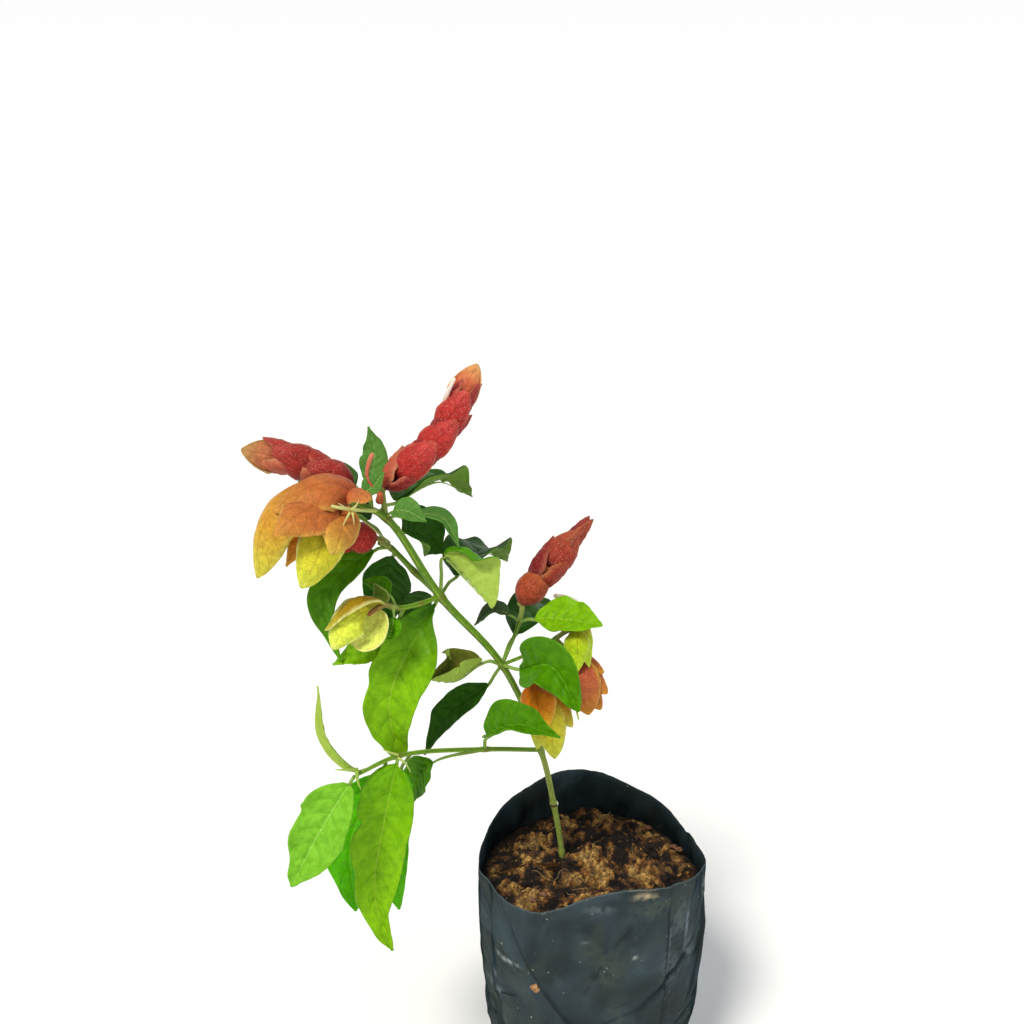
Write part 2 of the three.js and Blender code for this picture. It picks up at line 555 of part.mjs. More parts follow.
// Each spike: the stalk's points from the branch to where the bracts begin, the core's points,
// and its bracts, by the rule above or one by one as [foot, crest, tip, width, concave side, form].
const pointed = { curl: 45, tipping: 1.1 };
const cupped = { curl: 65, tipping: 0.6 };
const spread = { curl: 50 };
const SPIKES = {
  spike_red: {
    stalk: [UPPER, [-80, -28, 284]],
    core: [[-80, -27, 287], [-62, -21, 303], [-50, -14, 322]],
    rule: { pairs: 8, length: 20, width: 17.5, turn: 9, openings: [0.22, 0.38], first: 0.78, gaping: 0.14 },
    colour: red,
  },
  spike_behind: {
    stalk: [[-86, -33, 282], [-89, -27, 286]],
    core: [[-91, -24, 287], [-107, -21, 293.5], [-121, -20, 297]],
    rule: { pairs: 5, length: 19, width: 19, turn: 66, openings: [0.36, 0.26], first: 0.9 },
    colour: red,
  },
  spike_dark: {
    stalk: [TWIN, [-82, -16, 262]],
    core: [[-84, -19, 265], [-89, -21, 266], [-94, -23, 265]],
    rule: { pairs: 2, length: 14, width: 16, turn: 67, openings: [0.3, 0.3] },
    colour: red,
  },
  spike_bud: {
    stalk: [FRONT_NODE, [-79, -35, 245]],
    core: [[-80, -37, 246], [-83, -38, 245], [-86, -39, 243]],
    bracts: [
      [
        [-81.5, -37, 246], [-89, -43, 258.5], [-100.5, -45, 240],
        13, [0.4, -0.2, -0.9], { curl: 55 },
      ],
      [
        [-82, -37, 245], [-82.5, -39, 234], [-92, -42, 233.5],
        15, [-0.4, -0.9, 0.2], { curl: 45, tipping: 0.6 },
      ],
      [[-85.5, -39, 245], [-91.5, -50, 248], [-98, -46, 233], 17, [0.1, 0.95, -0.2], cupped],
      [[-81, -36, 246], [-80, -34, 250], [-84, -34, 253], 7, [-0.2, -0.9, -0.3], pointed],
    ],
    colour: lime,
  },
  spike_right: {
    stalk: [RIGHT_NODE, [-30, 4, 227]],
    core: [[-31, 4, 228], [-21, 8, 240], [-11, 12, 251]],
    rule: { pairs: 4, length: 22, width: 20, turn: 107, openings: [0.25, 0.3], first: 0.85 },
    colour: red,
  },
  spike_lime: {
    stalk: [STALKS_NODE, [-10, -13, 226]],
    core: [[-9, -13, 226], [-8, -14, 223], [-8, -15, 220]],
    bracts: [
      [[-8, -13, 226], [-12, -14, 222], [-12, -14, 213], 10, [0.8, 0.5, 0], pointed],
      [[-8, -13, 226], [-3, -15, 223], [-4, -14, 209], 11, [-0.7, 0.6, 0], pointed],
      [
        [-9, -14, 226], [-9, -22, 224], [-9, -18, 209],
        12, [0, 0.95, -0.1], { curl: 60, tipping: 0.9 },
      ],
      [[-8, -12, 225], [-7, -7, 222], [-7, -9, 211], 10, [0, -0.9, 0], pointed],
    ],
    colour: lime,
  },
  spike_pink: {
    stalk: [STALKS_NODE, [-13, -6, 213], [-11, -7, 210]],
    core: [[-11, -8, 209], [-8, -10, 205], [-5, -12, 201]],
    bracts: [
      [[-11, -8, 208], [-4, -9, 212], [2, -11, 205], 12, [-0.6, 0.5, -0.5], cupped],
      [[-11, -9, 207], [0, -13, 206], [3.5, -13, 197], 13, [-0.7, 0.6, 0.1], cupped],
      [[-11, -9, 206], [-1, -15, 203], [1, -15, 191], 14, [-0.6, 0.7, 0.1], cupped],
      [[-12, -10, 208], [-9, -23, 207], [-4, -19, 191], 22, [0.1, 0.95, -0.1], cupped],
      [[-11, -7, 207], [-11, -2, 203], [-7, -6, 193], 14, [0.1, -0.9, 0], spread],
    ],
    colour: salmon,
  },
  spike_amber: {
    stalk: [[-27, -4, 210], [-25, -7, 203]],
    core: [[-24, -8, 200], [-22, -10, 193], [-21, -12, 187]],
    bracts: [
      [[-23, -8, 199], [-13, -11, 196], [-10, -13, 182], 14, [-0.7, 0.6, 0.1], cupped],
      [[-24, -9, 198], [-31, -13, 194], [-24, -15, 173], 15, [0.8, 0.5, 0], cupped],
      [[-23, -10, 195], [-19, -21, 190], [-17, -17, 170], 17, [0, 0.95, -0.1], cupped],
      [[-24, -10, 200], [-26, -22, 200], [-21, -20, 184], 18, [0.1, 0.95, -0.2], cupped],
      [[-23, -7, 198], [-21, -2, 191], [-19, -8, 175], 15, [0, -0.9, 0], spread],
    ],
    colour: amber,
  },
  spike_open: {
    stalk: [CROWN, [-94, -36, 286]],
    core: [[-97, -38, 287], [-100, -40, 283], [-103, -42, 279]],
    bracts: [
      [[-97, -38, 287], [-103, -57, 291], [-113.5, -59, 281.5], 22, [0.1, 0.8, -0.6], pointed],
      [[-97, -38, 286], [-122, -49, 296], [-122, -50, 262.5], 25, [0.6, 0.7, -0.4], cupped],
      [[-98, -39, 286], [-96, -58, 276], [-106.5, -53, 260], 21, [0, 0.95, 0.1], cupped],
      [[-99, -39, 285], [-108, -44, 275], [-112.5, -46, 265], 11, [0.2, 0.8, -0.3], pointed],
      [[-92, -38, 287], [-90, -40, 293.5], [-82.5, -43, 288.5], 10, [0.1, 0.3, -1], spread],
      [[-100, -40, 283], [-105, -31, 279], [-111, -29, 266], 15, [0, -0.8, -0.4], spread],
      [[-100, -40, 283], [-98, -33, 276], [-103, -35, 258], 14, [0, -0.9, 0], spread],
      [
        [-94, -41, 284], [-89, -53, 282], [-95, -56, 273.5],
        17, [-0.3, 0.95, 0.1], { curl: 50, tipping: 0.8 },
      ],
      [[-88, -37, 287], [-97, -42, 302], [-115, -48, 286], 21, [0.2, 0.5, -0.9], spread],
    ],
    colour: salmon,
  },
};

function spike({ stalk, core, rule, bracts = [] }) {
  const curve = through(...stalk, ...core);
  const thinning = [0, 0.2, 0.4, 0.6, 0.8, 1].map((share) => [share, 1.05 - 0.25 * share]);
  const single = bracts.map(([foot, crest, tip, ...rest]) => {
    return bract([vec(foot), vec(crest), vec(tip), ...rest]);
  });
  const paired = rule ? pairedBracts({ core, ...rule }) : [];
  return [...single, ...paired].reduce((whole, one) => whole.add(one), tube(curve, thinning, 6));
}

// ---------------------------------------------------------------- the whole plant
const stems = {};
const fatStems = [];
for (const [name, [points, radii]] of Object.entries(STEMS)) {
  const sides = name === "main_stem" ? 9 : 6;
  stems[name] = clearOf(stem(points, radii, sides), fatStems);
  fatStems.push(stem(points, radii, sides, GAP));
}

const plant = new THREE.Group();
function place(name, solid, material) {
  const mesh = new THREE.Mesh(geometryOf(solid), material);
  mesh.name = name;
  plant.add(mesh);
}

place("grow_bag", growBag(), film);
place("soil", soil().subtract(fatStems[0]), earth);
for (const [name, solid] of Object.entries(stems)) place(name, solid, green_stem);
for (const [name, row] of Object.entries(LEAVES)) {
  place(name, clearOf(leaf(row), fatStems), row.colour);
}
for (const [name, row] of Object.entries(SPIKES)) {
  place(name, clearOf(spike(row), fatStems), row.colour);
}

export default plant;
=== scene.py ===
"""A flowering shrimp plant in a film grow bag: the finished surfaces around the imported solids.

Every shape is worked out in millimetres, +Z up, from the middle of the bag's flat base, and is
turned into metres when it is finished. -Y is the front.
"""

import bisect
import math
import random

import bmesh
import bpy
from mathutils import Matrix, Vector, noise


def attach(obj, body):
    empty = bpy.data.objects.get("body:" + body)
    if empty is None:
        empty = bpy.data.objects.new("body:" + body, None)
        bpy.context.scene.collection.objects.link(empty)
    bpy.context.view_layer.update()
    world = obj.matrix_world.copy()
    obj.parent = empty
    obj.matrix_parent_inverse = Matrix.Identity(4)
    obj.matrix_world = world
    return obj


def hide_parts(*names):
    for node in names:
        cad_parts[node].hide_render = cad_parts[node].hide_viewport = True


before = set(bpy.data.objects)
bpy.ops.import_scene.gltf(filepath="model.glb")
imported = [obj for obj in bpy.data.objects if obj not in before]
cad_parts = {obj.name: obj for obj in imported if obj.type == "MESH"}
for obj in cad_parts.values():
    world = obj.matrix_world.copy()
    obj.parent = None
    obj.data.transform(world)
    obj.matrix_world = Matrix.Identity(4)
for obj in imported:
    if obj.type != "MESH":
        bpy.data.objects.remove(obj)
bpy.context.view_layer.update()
scene = bpy.context.scene
MM = 0.001


# ---------------------------------------------------------------- small helpers
def bell(x, width):
    """1 at nought, and falling off smoothly on both sides within about the width."""
    return math.exp(-((x / width) ** 2))


def ease(low, high, x):
    """0 below low, 1 above high, and smooth between."""
    share = min(max((x - low) / (high - low), 0.0), 1.0)
    return share * share * (3 - 2 * share)


def linear(colour):
    """An sRGB hex colour as linear red, green, blue and alpha."""
    channels = [int(colour[i : i + 2], 16) / 255 for i in (1, 3, 5)]
    return [c / 12.92 if c < 0.04045 else ((c + 0.055) / 1.055) ** 2.4 for c in channels] + [1.0]


def blend(one, other, share):
    """One colour mixed with a share of the other."""
    return [a + (b - a) * share for a, b in zip(one, other)]


def gradient(stops, share):
    """The colour at share along stops of [place, colour]."""
    for (low, one), (high, other) in zip(stops, stops[1:]):
        if share <= high:
            return blend(one, other, ease(low, high, share))
    return stops[-1][1]


def rough(point, size, octaves=3):
    """Fractal noise from about -1 to 1 whose largest features are `size` mm."""
    return noise.fractal(Vector(point) / size, 1.0, 2.0, octaves)


# ---------------------------------------------------------------- lines
class Line:
    """A smooth line in space, walked by share of its length or by share of its points."""

    def __init__(self, fine):
        self.fine = fine
        self.reach = [0.0]
        for one, other in zip(fine, fine[1:]):
            self.reach.append(self.reach[-1] + (other - one).length)
        self.length = self.reach[-1]

    def by_points(self, share):
        """The point a share of the way through the points."""
        place = min(max(share, 0.0), 1.0) * (len(self.fine) - 1)
        step = min(int(place), len(self.fine) - 2)
        return self.fine[step].lerp(self.fine[step + 1], place - step)

    def at(self, share):
        """The point a share of the way along the length."""
        wanted = min(max(share, 0.0), 1.0) * self.length
        step = min(max(bisect.bisect_right(self.reach, wanted) - 1, 0), len(self.fine) - 2)
        span = self.reach[step + 1] - self.reach[step]
        return self.fine[step].lerp(self.fine[step + 1], (wanted - self.reach[step]) / span)

    def heading(self, share, by_points=False):
        """The direction in which the line runs there."""
        walk = self.by_points if by_points else self.at
        return (walk(share + 0.01) - walk(share - 0.01)).normalized()


def sideways(forward):
    """Two directions that are square to a heading and to each other."""
    right = Vector((0, 1, 0)).cross(forward).normalized()
    return right, right.cross(forward)


def through(*points):
    """A centripetal spline through the points, as the solids' ribs and stems follow."""
    steps = 32
    row = [Vector(p) for p in points]
    row = [2 * row[0] - row[1], *row, 2 * row[-1] - row[-2]]
    fine = []
    for a, b, c, d in zip(row, row[1:], row[2:], row[3:]):
        before, here, after = [(q - p).length ** 0.5 for p, q in ((a, b), (b, c), (c, d))]
        leave = (b - a) / before - (c - a) / (before + here) + (c - b) / here
        arrive = (c - b) / here - (d - b) / (here + after) + (d - c) / after
        leave, arrive = leave * here, arrive * here
        square = 3 * (c - b) - 2 * leave - arrive
        cube = 2 * (b - c) + leave + arrive
        fine += [b + leave * t + square * t * t + cube * t**3 for t in (k / steps for k in range(steps))]
    return Line([*fine, row[-2]])


def arched(foot, crest, tip):
    """A line from foot to tip that is drawn out towards crest."""
    steps = 24
    shares = [k / steps for k in range(steps + 1)]
    return Line([foot.lerp(crest, t).lerp(crest.lerp(tip, t), t) for t in shares])


# ---------------------------------------------------------------- meshes
def grid(across, along, place, round_tube=False):
    """A sheet whose corners place(side, share) sets, side -1 to 1 and share 0 to 1.

    place gives a point and its colour, kept as the attribute "tint"; the uv map "grid" keeps the
    side and share. A round tube has its two long edges joined and its ends closed.
    """
    bm = bmesh.new()
    tint = bm.verts.layers.float_color.new("tint")
    uv = bm.loops.layers.uv.new("grid")
    bmesh.ops.create_grid(bm, x_segments=across, y_segments=along, size=1)
    bmesh.ops.reverse_faces(bm, faces=bm.faces)
    for face in bm.faces:
        for loop in face.loops:
            loop[uv].uv = (loop.vert.co.x / 2 + 0.5, loop.vert.co.y / 2 + 0.5)
    for vert in bm.verts:
        vert.co, vert[tint] = place(vert.co.x, vert.co.y / 2 + 0.5)
    if round_tube:
        bmesh.ops.remove_doubles(bm, verts=bm.verts, dist=1e-4)
        ends = [edge for edge in bm.edges if edge.is_boundary]
        bmesh.ops.holes_fill(bm, edges=ends)
        bmesh.ops.recalc_face_normals(bm, faces=bm.faces)
    return bm


def thicken(bm, thickness, inner=0):
    """Gives an open sheet its thickness, away from its face, with a material for that side."""
    bm.normal_update()
    outer = set(bm.verts)
    bmesh.ops.solidify(bm, geom=bm.faces[:], thickness=thickness)
    for face in bm.faces:
        if not any(vert in outer for vert in face.verts):
            face.material_index = inner
    return bm


def tube(line, radius, sides, rows, colour, by_points=False, end=1.0, drop=None):
    """A round tube along a line, as far as the share `end` of it. radius(share, turn) and
    colour(share, turn) give its size and tint, and drop(share) moves it off its line."""
    walk = line.by_points if by_points else line.at

    def place(side, share):
        along = end * share
        right, back = sideways(line.heading(along, by_points))
        turn = math.pi * side
        # The last rows draw in, which rounds the end off.
        size = radius(along, turn) * math.sqrt(max(1 - share**60, 0.04))
        point = walk(along) + right * (math.cos(turn) * size) + back * (math.sin(turn) * size)
        if drop:
            point += drop(along)
        return point, colour(along, turn)

    return grid(sides, rows, place, round_tube=True)


def join(bm, *others):
    """Adds other meshes to the first one."""
    for other in others:
        passed = bpy.data.meshes.new("passed")
        other.to_mesh(passed)
        other.free()
        bm.from_mesh(passed)
        bpy.data.meshes.remove(passed)
    return bm


def scatter(bm, placements):
    """Repeats a small mesh once for each placement, which is a matrix and a tint."""
    bm = join(bmesh.new(), bm)
    tint = bm.verts.layers.float_color.get("tint") or bm.verts.layers.float_color.new("tint")
    shape = [vert.co.copy() for vert in bm.verts]
    wanted = len(shape) * len(placements)
    while len(bm.verts) < wanted:
        bmesh.ops.duplicate(bm, geom=bm.verts[:] + bm.edges[:] + bm.faces[:])
    bm.verts.ensure_lookup_table()
    bmesh.ops.delete(bm, geom=bm.verts[wanted:], context="VERTS")
    bm.verts.ensure_lookup_table()
    for copy, (matrix, colour) in enumerate(placements):
        for k, corner in enumerate(shape):
            vert = bm.verts[copy * len(shape) + k]
            vert.co = matrix @ corner
            vert[tint] = colour
    return bm


def piece(name, bm, slot, finishes, nodes=()):
    """Makes a finished mesh a piece of the plant, in metres, in place of the solids it names."""
    bmesh.ops.scale(bm, vec=(MM, MM, MM), verts=bm.verts)
    mesh = bpy.data.meshes.new(name)
    bm.to_mesh(mesh)
    bm.free()
    mesh.shade_smooth()
    for finish in finishes:
        mesh.materials.append(finish)
    made = bpy.data.objects.new(name, mesh)
    scene.collection.objects.link(made)
    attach(made, "root")
    if nodes:
        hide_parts(*nodes)
    return made


# ---------------------------------------------------------------- finishes
def finish(name):
    """An empty material and its shader."""
    made = bpy.data.materials.new(name)
    made.use_nodes = True
    return made.node_tree, made.node_tree.nodes["Principled BSDF"], made


def node(tree, kind, inputs=(), stops=(), **settings):
    """Adds one shader node. Its inputs, in their order or by name, are values, nodes or sockets, and
    stops are those of a colour ramp."""
    made = tree.nodes.new("ShaderNode" + kind)
    for name, value in settings.items():
        setattr(made, name, value)
    for name, value in inputs.items() if isinstance(inputs, dict) else enumerate(inputs):
        if isinstance(value, bpy.types.Node):
            value = value.outputs[0]
        if isinstance(value, bpy.types.NodeSocket):
            tree.links.new(value, made.inputs[name])
        else:
            made.inputs[name].default_value = value
    for (at, colour), k in zip(stops, range(len(stops))):
        element = made.color_ramp.elements[k] if k < 2 else made.color_ramp.elements.new(at)
        element.position, element.color = at, linear(colour)
    return made


def dress(tree, shader, **inputs):
    """Sets the shader's own inputs, by value or by link."""
    for name, value in inputs.items():
        socket = shader.inputs[name.replace("_", " ")]
        if isinstance(value, bpy.types.Node):
            tree.links.new(value.outputs[0], socket)
        else:
            socket.default_value = value


# How many pairs of side veins a leaf has, how far a vein climbs from the rib to the margin as a
# share of the blade's length, and how strongly it bows on the way. Then the same for a bract, whose
# veins run straight.
VEINS, VEIN_CLIMB, VEIN_BOW = 7, 0.16, 1.4
BRACT_VEINS, BRACT_VEIN_CLIMB = 6, 0.3


def blade_places(tree):
    """A point's object coordinates, how far out from the rib it lies, and how far along the blade."""
    place = node(tree, "TexCoord").outputs["Object"]
    uv = node(tree, "SeparateXYZ", [node(tree, "UVMap", uv_map="grid")])
    centred = node(tree, "Math", [uv.outputs[0], 2.0, -1.0], operation="MULTIPLY_ADD")
    return place, node(tree, "Math", [centred], operation="ABSOLUTE"), uv.outputs[1]


def leaf_skin(name, blade, patch, rib, gloss, wax=0.0, veins=None, patchy=0.6, shine=0.1):
    """A living leaf's waxy skin: the blade's green in two tones, its pale rib, its side veins in
    the colour `veins`, the faint net between them, and the satin or wet gloss of its wax."""
    tree, shader, made = finish(name)
    place, side, along = blade_places(tree)
    bowed = node(tree, "Math", [side, VEIN_BOW], operation="POWER")
    climb = node(tree, "Math", [bowed, -VEIN_CLIMB, along], operation="MULTIPLY_ADD")
    count = node(tree, "Math", [climb, float(VEINS)], operation="MULTIPLY")
    away = node(tree, "Math", [count, 0.5], operation="PINGPONG")
    vein = node(tree, "MapRange", [away, 0.01, 0.05, 1.0, 0.0], interpolation_type="SMOOTHSTEP")
    fading = node(tree, "MapRange", [side, 0.2, 0.9, 1.0, 0.0])
    vein = node(tree, "Math", [vein, fading], operation="MULTIPLY")
    midrib = node(tree, "MapRange", [side, 0.01, 0.035, 0.55, 0.0], interpolation_type="SMOOTHSTEP")
    # Patches about 3 mm across, and the net of finest veins, whose cells are about 0.7 mm.
    patches = node(tree, "TexNoise", {"Vector": place, "Scale": 360.0, "Detail": 6.0, "Roughness": 0.7})
    patches = node(tree, "MapRange", [patches, 0.42, 0.6, 0.0, patchy])
    net = node(tree, "TexVoronoi", {"Vector": place, "Scale": 1400.0}, feature="DISTANCE_TO_EDGE")
    net = node(tree, "MapRange", [net, 0.0, 0.18, 0.0, 1.0])
    green = node(tree, "MixRGB", [patches, linear(blade), linear(patch)])
    cells = node(tree, "MixRGB", [0.1, green, net], blend_type="MULTIPLY")
    marks = node(tree, "Math", [vein, 0.55 if veins else 0.2], operation="MULTIPLY")
    marked = node(tree, "MixRGB", [marks, cells, linear(veins or rib)])
    ribbed = node(tree, "MixRGB", [midrib, marked, linear(rib)])
    tint = node(tree, "Attribute", attribute_name="tint")
    tinted = node(tree, "MixRGB", [1.0, ribbed, tint], blend_type="MULTIPLY")
    height = node(tree, "Math", [vein, -0.8, net], operation="MULTIPLY_ADD")
    bump = node(tree, "Bump", {"Strength": 0.3, "Distance": 0.0002, "Height": height})
    # The gloss varies over about 4 mm.
    sheen = node(tree, "TexNoise", {"Vector": place, "Scale": 260.0, "Detail": 2.0})
    dull = node(tree, "MapRange", [sheen, 0.3, 0.7, gloss - 0.07, gloss + 0.1])
    dress(tree, shader, Base_Color=tinted, Roughness=dull, Normal=bump, IOR=1.45, Specular_IOR_Level=shine)
    dress(tree, shader, Coat_Weight=wax, Coat_Roughness=0.12)
    dress(tree, shader, Subsurface_Weight=0.1, Subsurface_Radius=(0.3, 0.8, 0.1), Subsurface_Scale=0.001)
    return made


def tinted_skin(name, gloss, grain, grain_size, specks, depth, glow):
    """A soft plant skin whose colour is its tint, broken up by a grain and by pale hair specks a
    millimetre apart. `grain_size` is in millimetres, `depth` in metres, and `glow` lets light in."""
    tree, shader, made = finish(name)
    place = node(tree, "TexCoord").outputs["Object"]
    tint = node(tree, "Attribute", attribute_name="tint")
    speckle = node(tree, "TexNoise", {"Vector": place, "Scale": 1000 / grain_size, "Detail": 4.0})
    shade = node(tree, "MapRange", [speckle, 0.3, 0.7, 1.0 - grain, 1.0 + grain / 2])
    shaded = node(tree, "MixRGB", [1.0, tint, shade], blend_type="MULTIPLY")
    cells = node(tree, "TexVoronoi", {"Vector": place, "Scale": 900.0})
    dots = node(tree, "MapRange", [cells, 0.1, 0.26, specks, 0.0])
    dotted = node(tree, "MixRGB", [dots, shaded, linear("#f6d9cf")])
    bump = node(tree, "Bump", {"Strength": 0.5, "Distance": depth, "Height": speckle})
    dress(tree, shader, Base_Color=dotted, Roughness=gloss, Normal=bump, IOR=1.42, Specular_IOR_Level=0.3)
    dress(tree, shader, Subsurface_Weight=glow, Subsurface_Radius=(1.0, 0.45, 0.2), Subsurface_Scale=0.001)
    return made


def bract_skin():
    """A bract's thin hairy skin: its tint with darker veins, a net between them, and a soft sheen
    of hairs that catch the light as pale specks."""
    tree, shader, made = finish("hairy bract skin")
    place, side, along = blade_places(tree)
    climb = node(tree, "Math", [side, -BRACT_VEIN_CLIMB, along], operation="MULTIPLY_ADD")
    count = node(tree, "Math", [climb, float(BRACT_VEINS)], operation="MULTIPLY")
    away = node(tree, "Math", [count, 0.5], operation="PINGPONG")
    vein = node(tree, "MapRange", [away, 0.01, 0.08, 0.2, 0.0], interpolation_type="SMOOTHSTEP")
    midrib = node(tree, "MapRange", [side, 0.01, 0.06, 0.25, 0.0], interpolation_type="SMOOTHSTEP")
    veins = node(tree, "Math", [vein, midrib], operation="MAXIMUM")
    # The net's cells are about 1.1 mm across, and the blotches about 2 mm.
    net = node(tree, "TexVoronoi", {"Vector": place, "Scale": 900.0}, feature="DISTANCE_TO_EDGE")
    net = node(tree, "MapRange", [net, 0.0, 0.2, 0.84, 1.0])
    blotch = node(tree, "TexNoise", {"Vector": place, "Scale": 450.0, "Detail": 5.0, "Roughness": 0.65})
    shade = node(tree, "MapRange", [blotch, 0.3, 0.7, 0.6, 0.98])
    tint = node(tree, "Attribute", attribute_name="tint")
    shaded = node(tree, "MixRGB", [1.0, tint, shade], blend_type="MULTIPLY")
    netted = node(tree, "MixRGB", [1.0, shaded, net], blend_type="MULTIPLY")
    veined = node(tree, "MixRGB", [veins, netted, linear("#a8402c")], blend_type="MULTIPLY")
    # The hair specks are about 0.3 mm across, and show most on the red skin, which has least green.
    green = node(tree, "SeparateColor", [tint]).outputs[1]
    amount = node(tree, "MapRange", [green, 0.06, 0.17, 0.34, 0.02])
    cells = node(tree, "TexVoronoi", {"Vector": place, "Scale": 1250.0})
    dots = node(tree, "MapRange", [cells, 0.1, 0.26, amount, 0.0])
    dotted = node(tree, "MixRGB", [dots, veined, linear("#f3c6b4")])
    height = node(tree, "Math", [veins, -1.2, net], operation="MULTIPLY_ADD")
    bump = node(tree, "Bump", {"Strength": 0.5, "Distance": 0.0003, "Height": height})
    dress(tree, shader, Base_Color=dotted, Roughness=0.5, Normal=bump, IOR=1.42, Specular_IOR_Level=0.14)
    dress(tree, shader, Sheen_Weight=0.04, Sheen_Roughness=0.4)
    dress(tree, shader, Subsurface_Weight=0.2, Subsurface_Radius=(1.0, 0.45, 0.2), Subsurface_Scale=0.001)
    return made


def bag_film():
    """Blown black polythene film: bluish satin with a soft sheen, dulled and paler in clouds that are
    partly a haze of dried soil dust and partly painted sheen, with smears of dust and tiny pale specks."""
    tree, shader, made = finish("black polythene film")
    place = node(tree, "TexCoord").outputs["Object"]
    # The paler clouds, 20 to 35 mm across, are partly a dust haze and partly painted sheen.
    haze_and_sheen = node(tree, "TexNoise", {"Vector": place, "Scale": 30.0, "Detail": 6.0, "Distortion": 1.8})
    hazed_and_sheened = node(tree, "MapRange", [haze_and_sheen, 0.4, 0.7, 0.0, 0.9])
    film = node(tree, "MixRGB", [hazed_and_sheened, linear("#202a2d"), linear("#35434a")])
    mottle = node(tree, "TexNoise", {"Vector": place, "Scale": 44.0, "Detail": 5.0, "Distortion": 0.8})
    mottled = node(tree, "MapRange", [mottle, 0.5, 0.68, 0.0, 0.5])
    film = node(tree, "MixRGB", [mottled, film, linear("#3b4338")])
    # Smears of dust about 11 by 26 mm that run mostly up and down.
    smear_turn, smear_scale = (0.5, 0.3, 0.0), (90.0, 90.0, 38.0)
    drawn_out = node(tree, "Mapping", {"Vector": place, "Scale": smear_scale, "Rotation": smear_turn})
    smear = node(tree, "TexNoise", {"Vector": drawn_out, "Scale": 1.0, "Detail": 6.0, "Roughness": 0.65})
    smears = node(tree, "MapRange", [smear, 0.6, 0.8, 0.0, 0.5])
    toned_with_painted_light = node(tree, "MixRGB", [smears, film, linear("#4c5a5b")])
    # A speck every 4 mm or so, where the film is mottled.
    cells = node(tree, "TexVoronoi", {"Vector": place, "Scale": 230.0})
    here = node(tree, "MapRange", [mottle, 0.46, 0.6, 0.0, 0.8])
    specks = node(tree, "MapRange", [cells, 0.06, 0.11, here, 0.0])
    speckled = node(tree, "MixRGB", [specks, toned_with_painted_light, linear("#a4a89c")])
    # The tint lays dust and scuffs on, with painted shade in the folds and inside, and painted highlights.
    tint = node(tree, "Attribute", attribute_name="tint")
    dust_and_painted_light = node(tree, "MixRGB", [tint.outputs["Alpha"], speckled, tint.outputs["Color"]])
    # Crinkles 6 mm across on ridges and valleys about 20 mm across.
    crinkle = node(tree, "TexNoise", {"Vector": place, "Scale": 170.0, "Detail": 3.0, "Distortion": 0.6})
    wide = node(tree, "TexNoise", {"Vector": place, "Scale": 48.0, "Detail": 2.0, "Distortion": 1.5})
    valley = node(tree, "Math", [wide, 0.5], operation="PINGPONG")
    height = node(tree, "Math", [valley, 5.0, crinkle], operation="MULTIPLY_ADD")
    bump = node(tree, "Bump", {"Strength": 0.3, "Distance": 0.0006, "Height": height})
    dull = node(tree, "MapRange", [haze_and_sheen, 0.35, 0.7, 0.4, 0.58])
    # Painted shade: the shine is taken off where the film turns away from view, darkening its sides.
    turned = node(tree, "LayerWeight", {"Blend": 0.5}).outputs["Facing"]
    shine = node(tree, "MapRange", [turned, 0.3, 0.75, 0.12, 0.0])
    dress(tree, shader, Base_Color=dust_and_painted_light, Roughness=dull, Normal=bump, IOR=1.5, Specular_IOR_Level=shine)
    return made


def damp_soil():
    """Damp peaty soil: golden to dark brown crumbs, painted near black as shade in the cracks, and matte.
    """
    tree, shader, made = finish("damp crumbly soil")
    place = node(tree, "TexCoord").outputs["Object"]
    tint = node(tree, "Attribute", attribute_name="tint")
    # Grit about 1 mm across, its own tone and painted shade in its hollows, with a pale grain every 2 mm or
    # so.
    grit = node(tree, "TexNoise", {"Vector": place, "Scale": 900.0, "Detail": 6.0, "Roughness": 0.8})
    shade = node(tree, "MapRange", [grit, 0.36, 0.66, 0.12, 1.7])
    shaded = node(tree, "MixRGB", [1.0, tint, shade], blend_type="MULTIPLY")
    cells = node(tree, "TexVoronoi", {"Vector": place, "Scale": 450.0})
    pale = node(tree, "MapRange", [cells, 0.06, 0.11, 0.6, 0.0])
    dotted = node(tree, "MixRGB", [pale, shaded, linear("#d8b98a")])
    bump = node(tree, "Bump", {"Strength": 1.0, "Distance": 0.001, "Height": grit})
    dress(tree, shader, Base_Color=dotted, Roughness=0.85, Normal=bump, IOR=1.4)
    return made


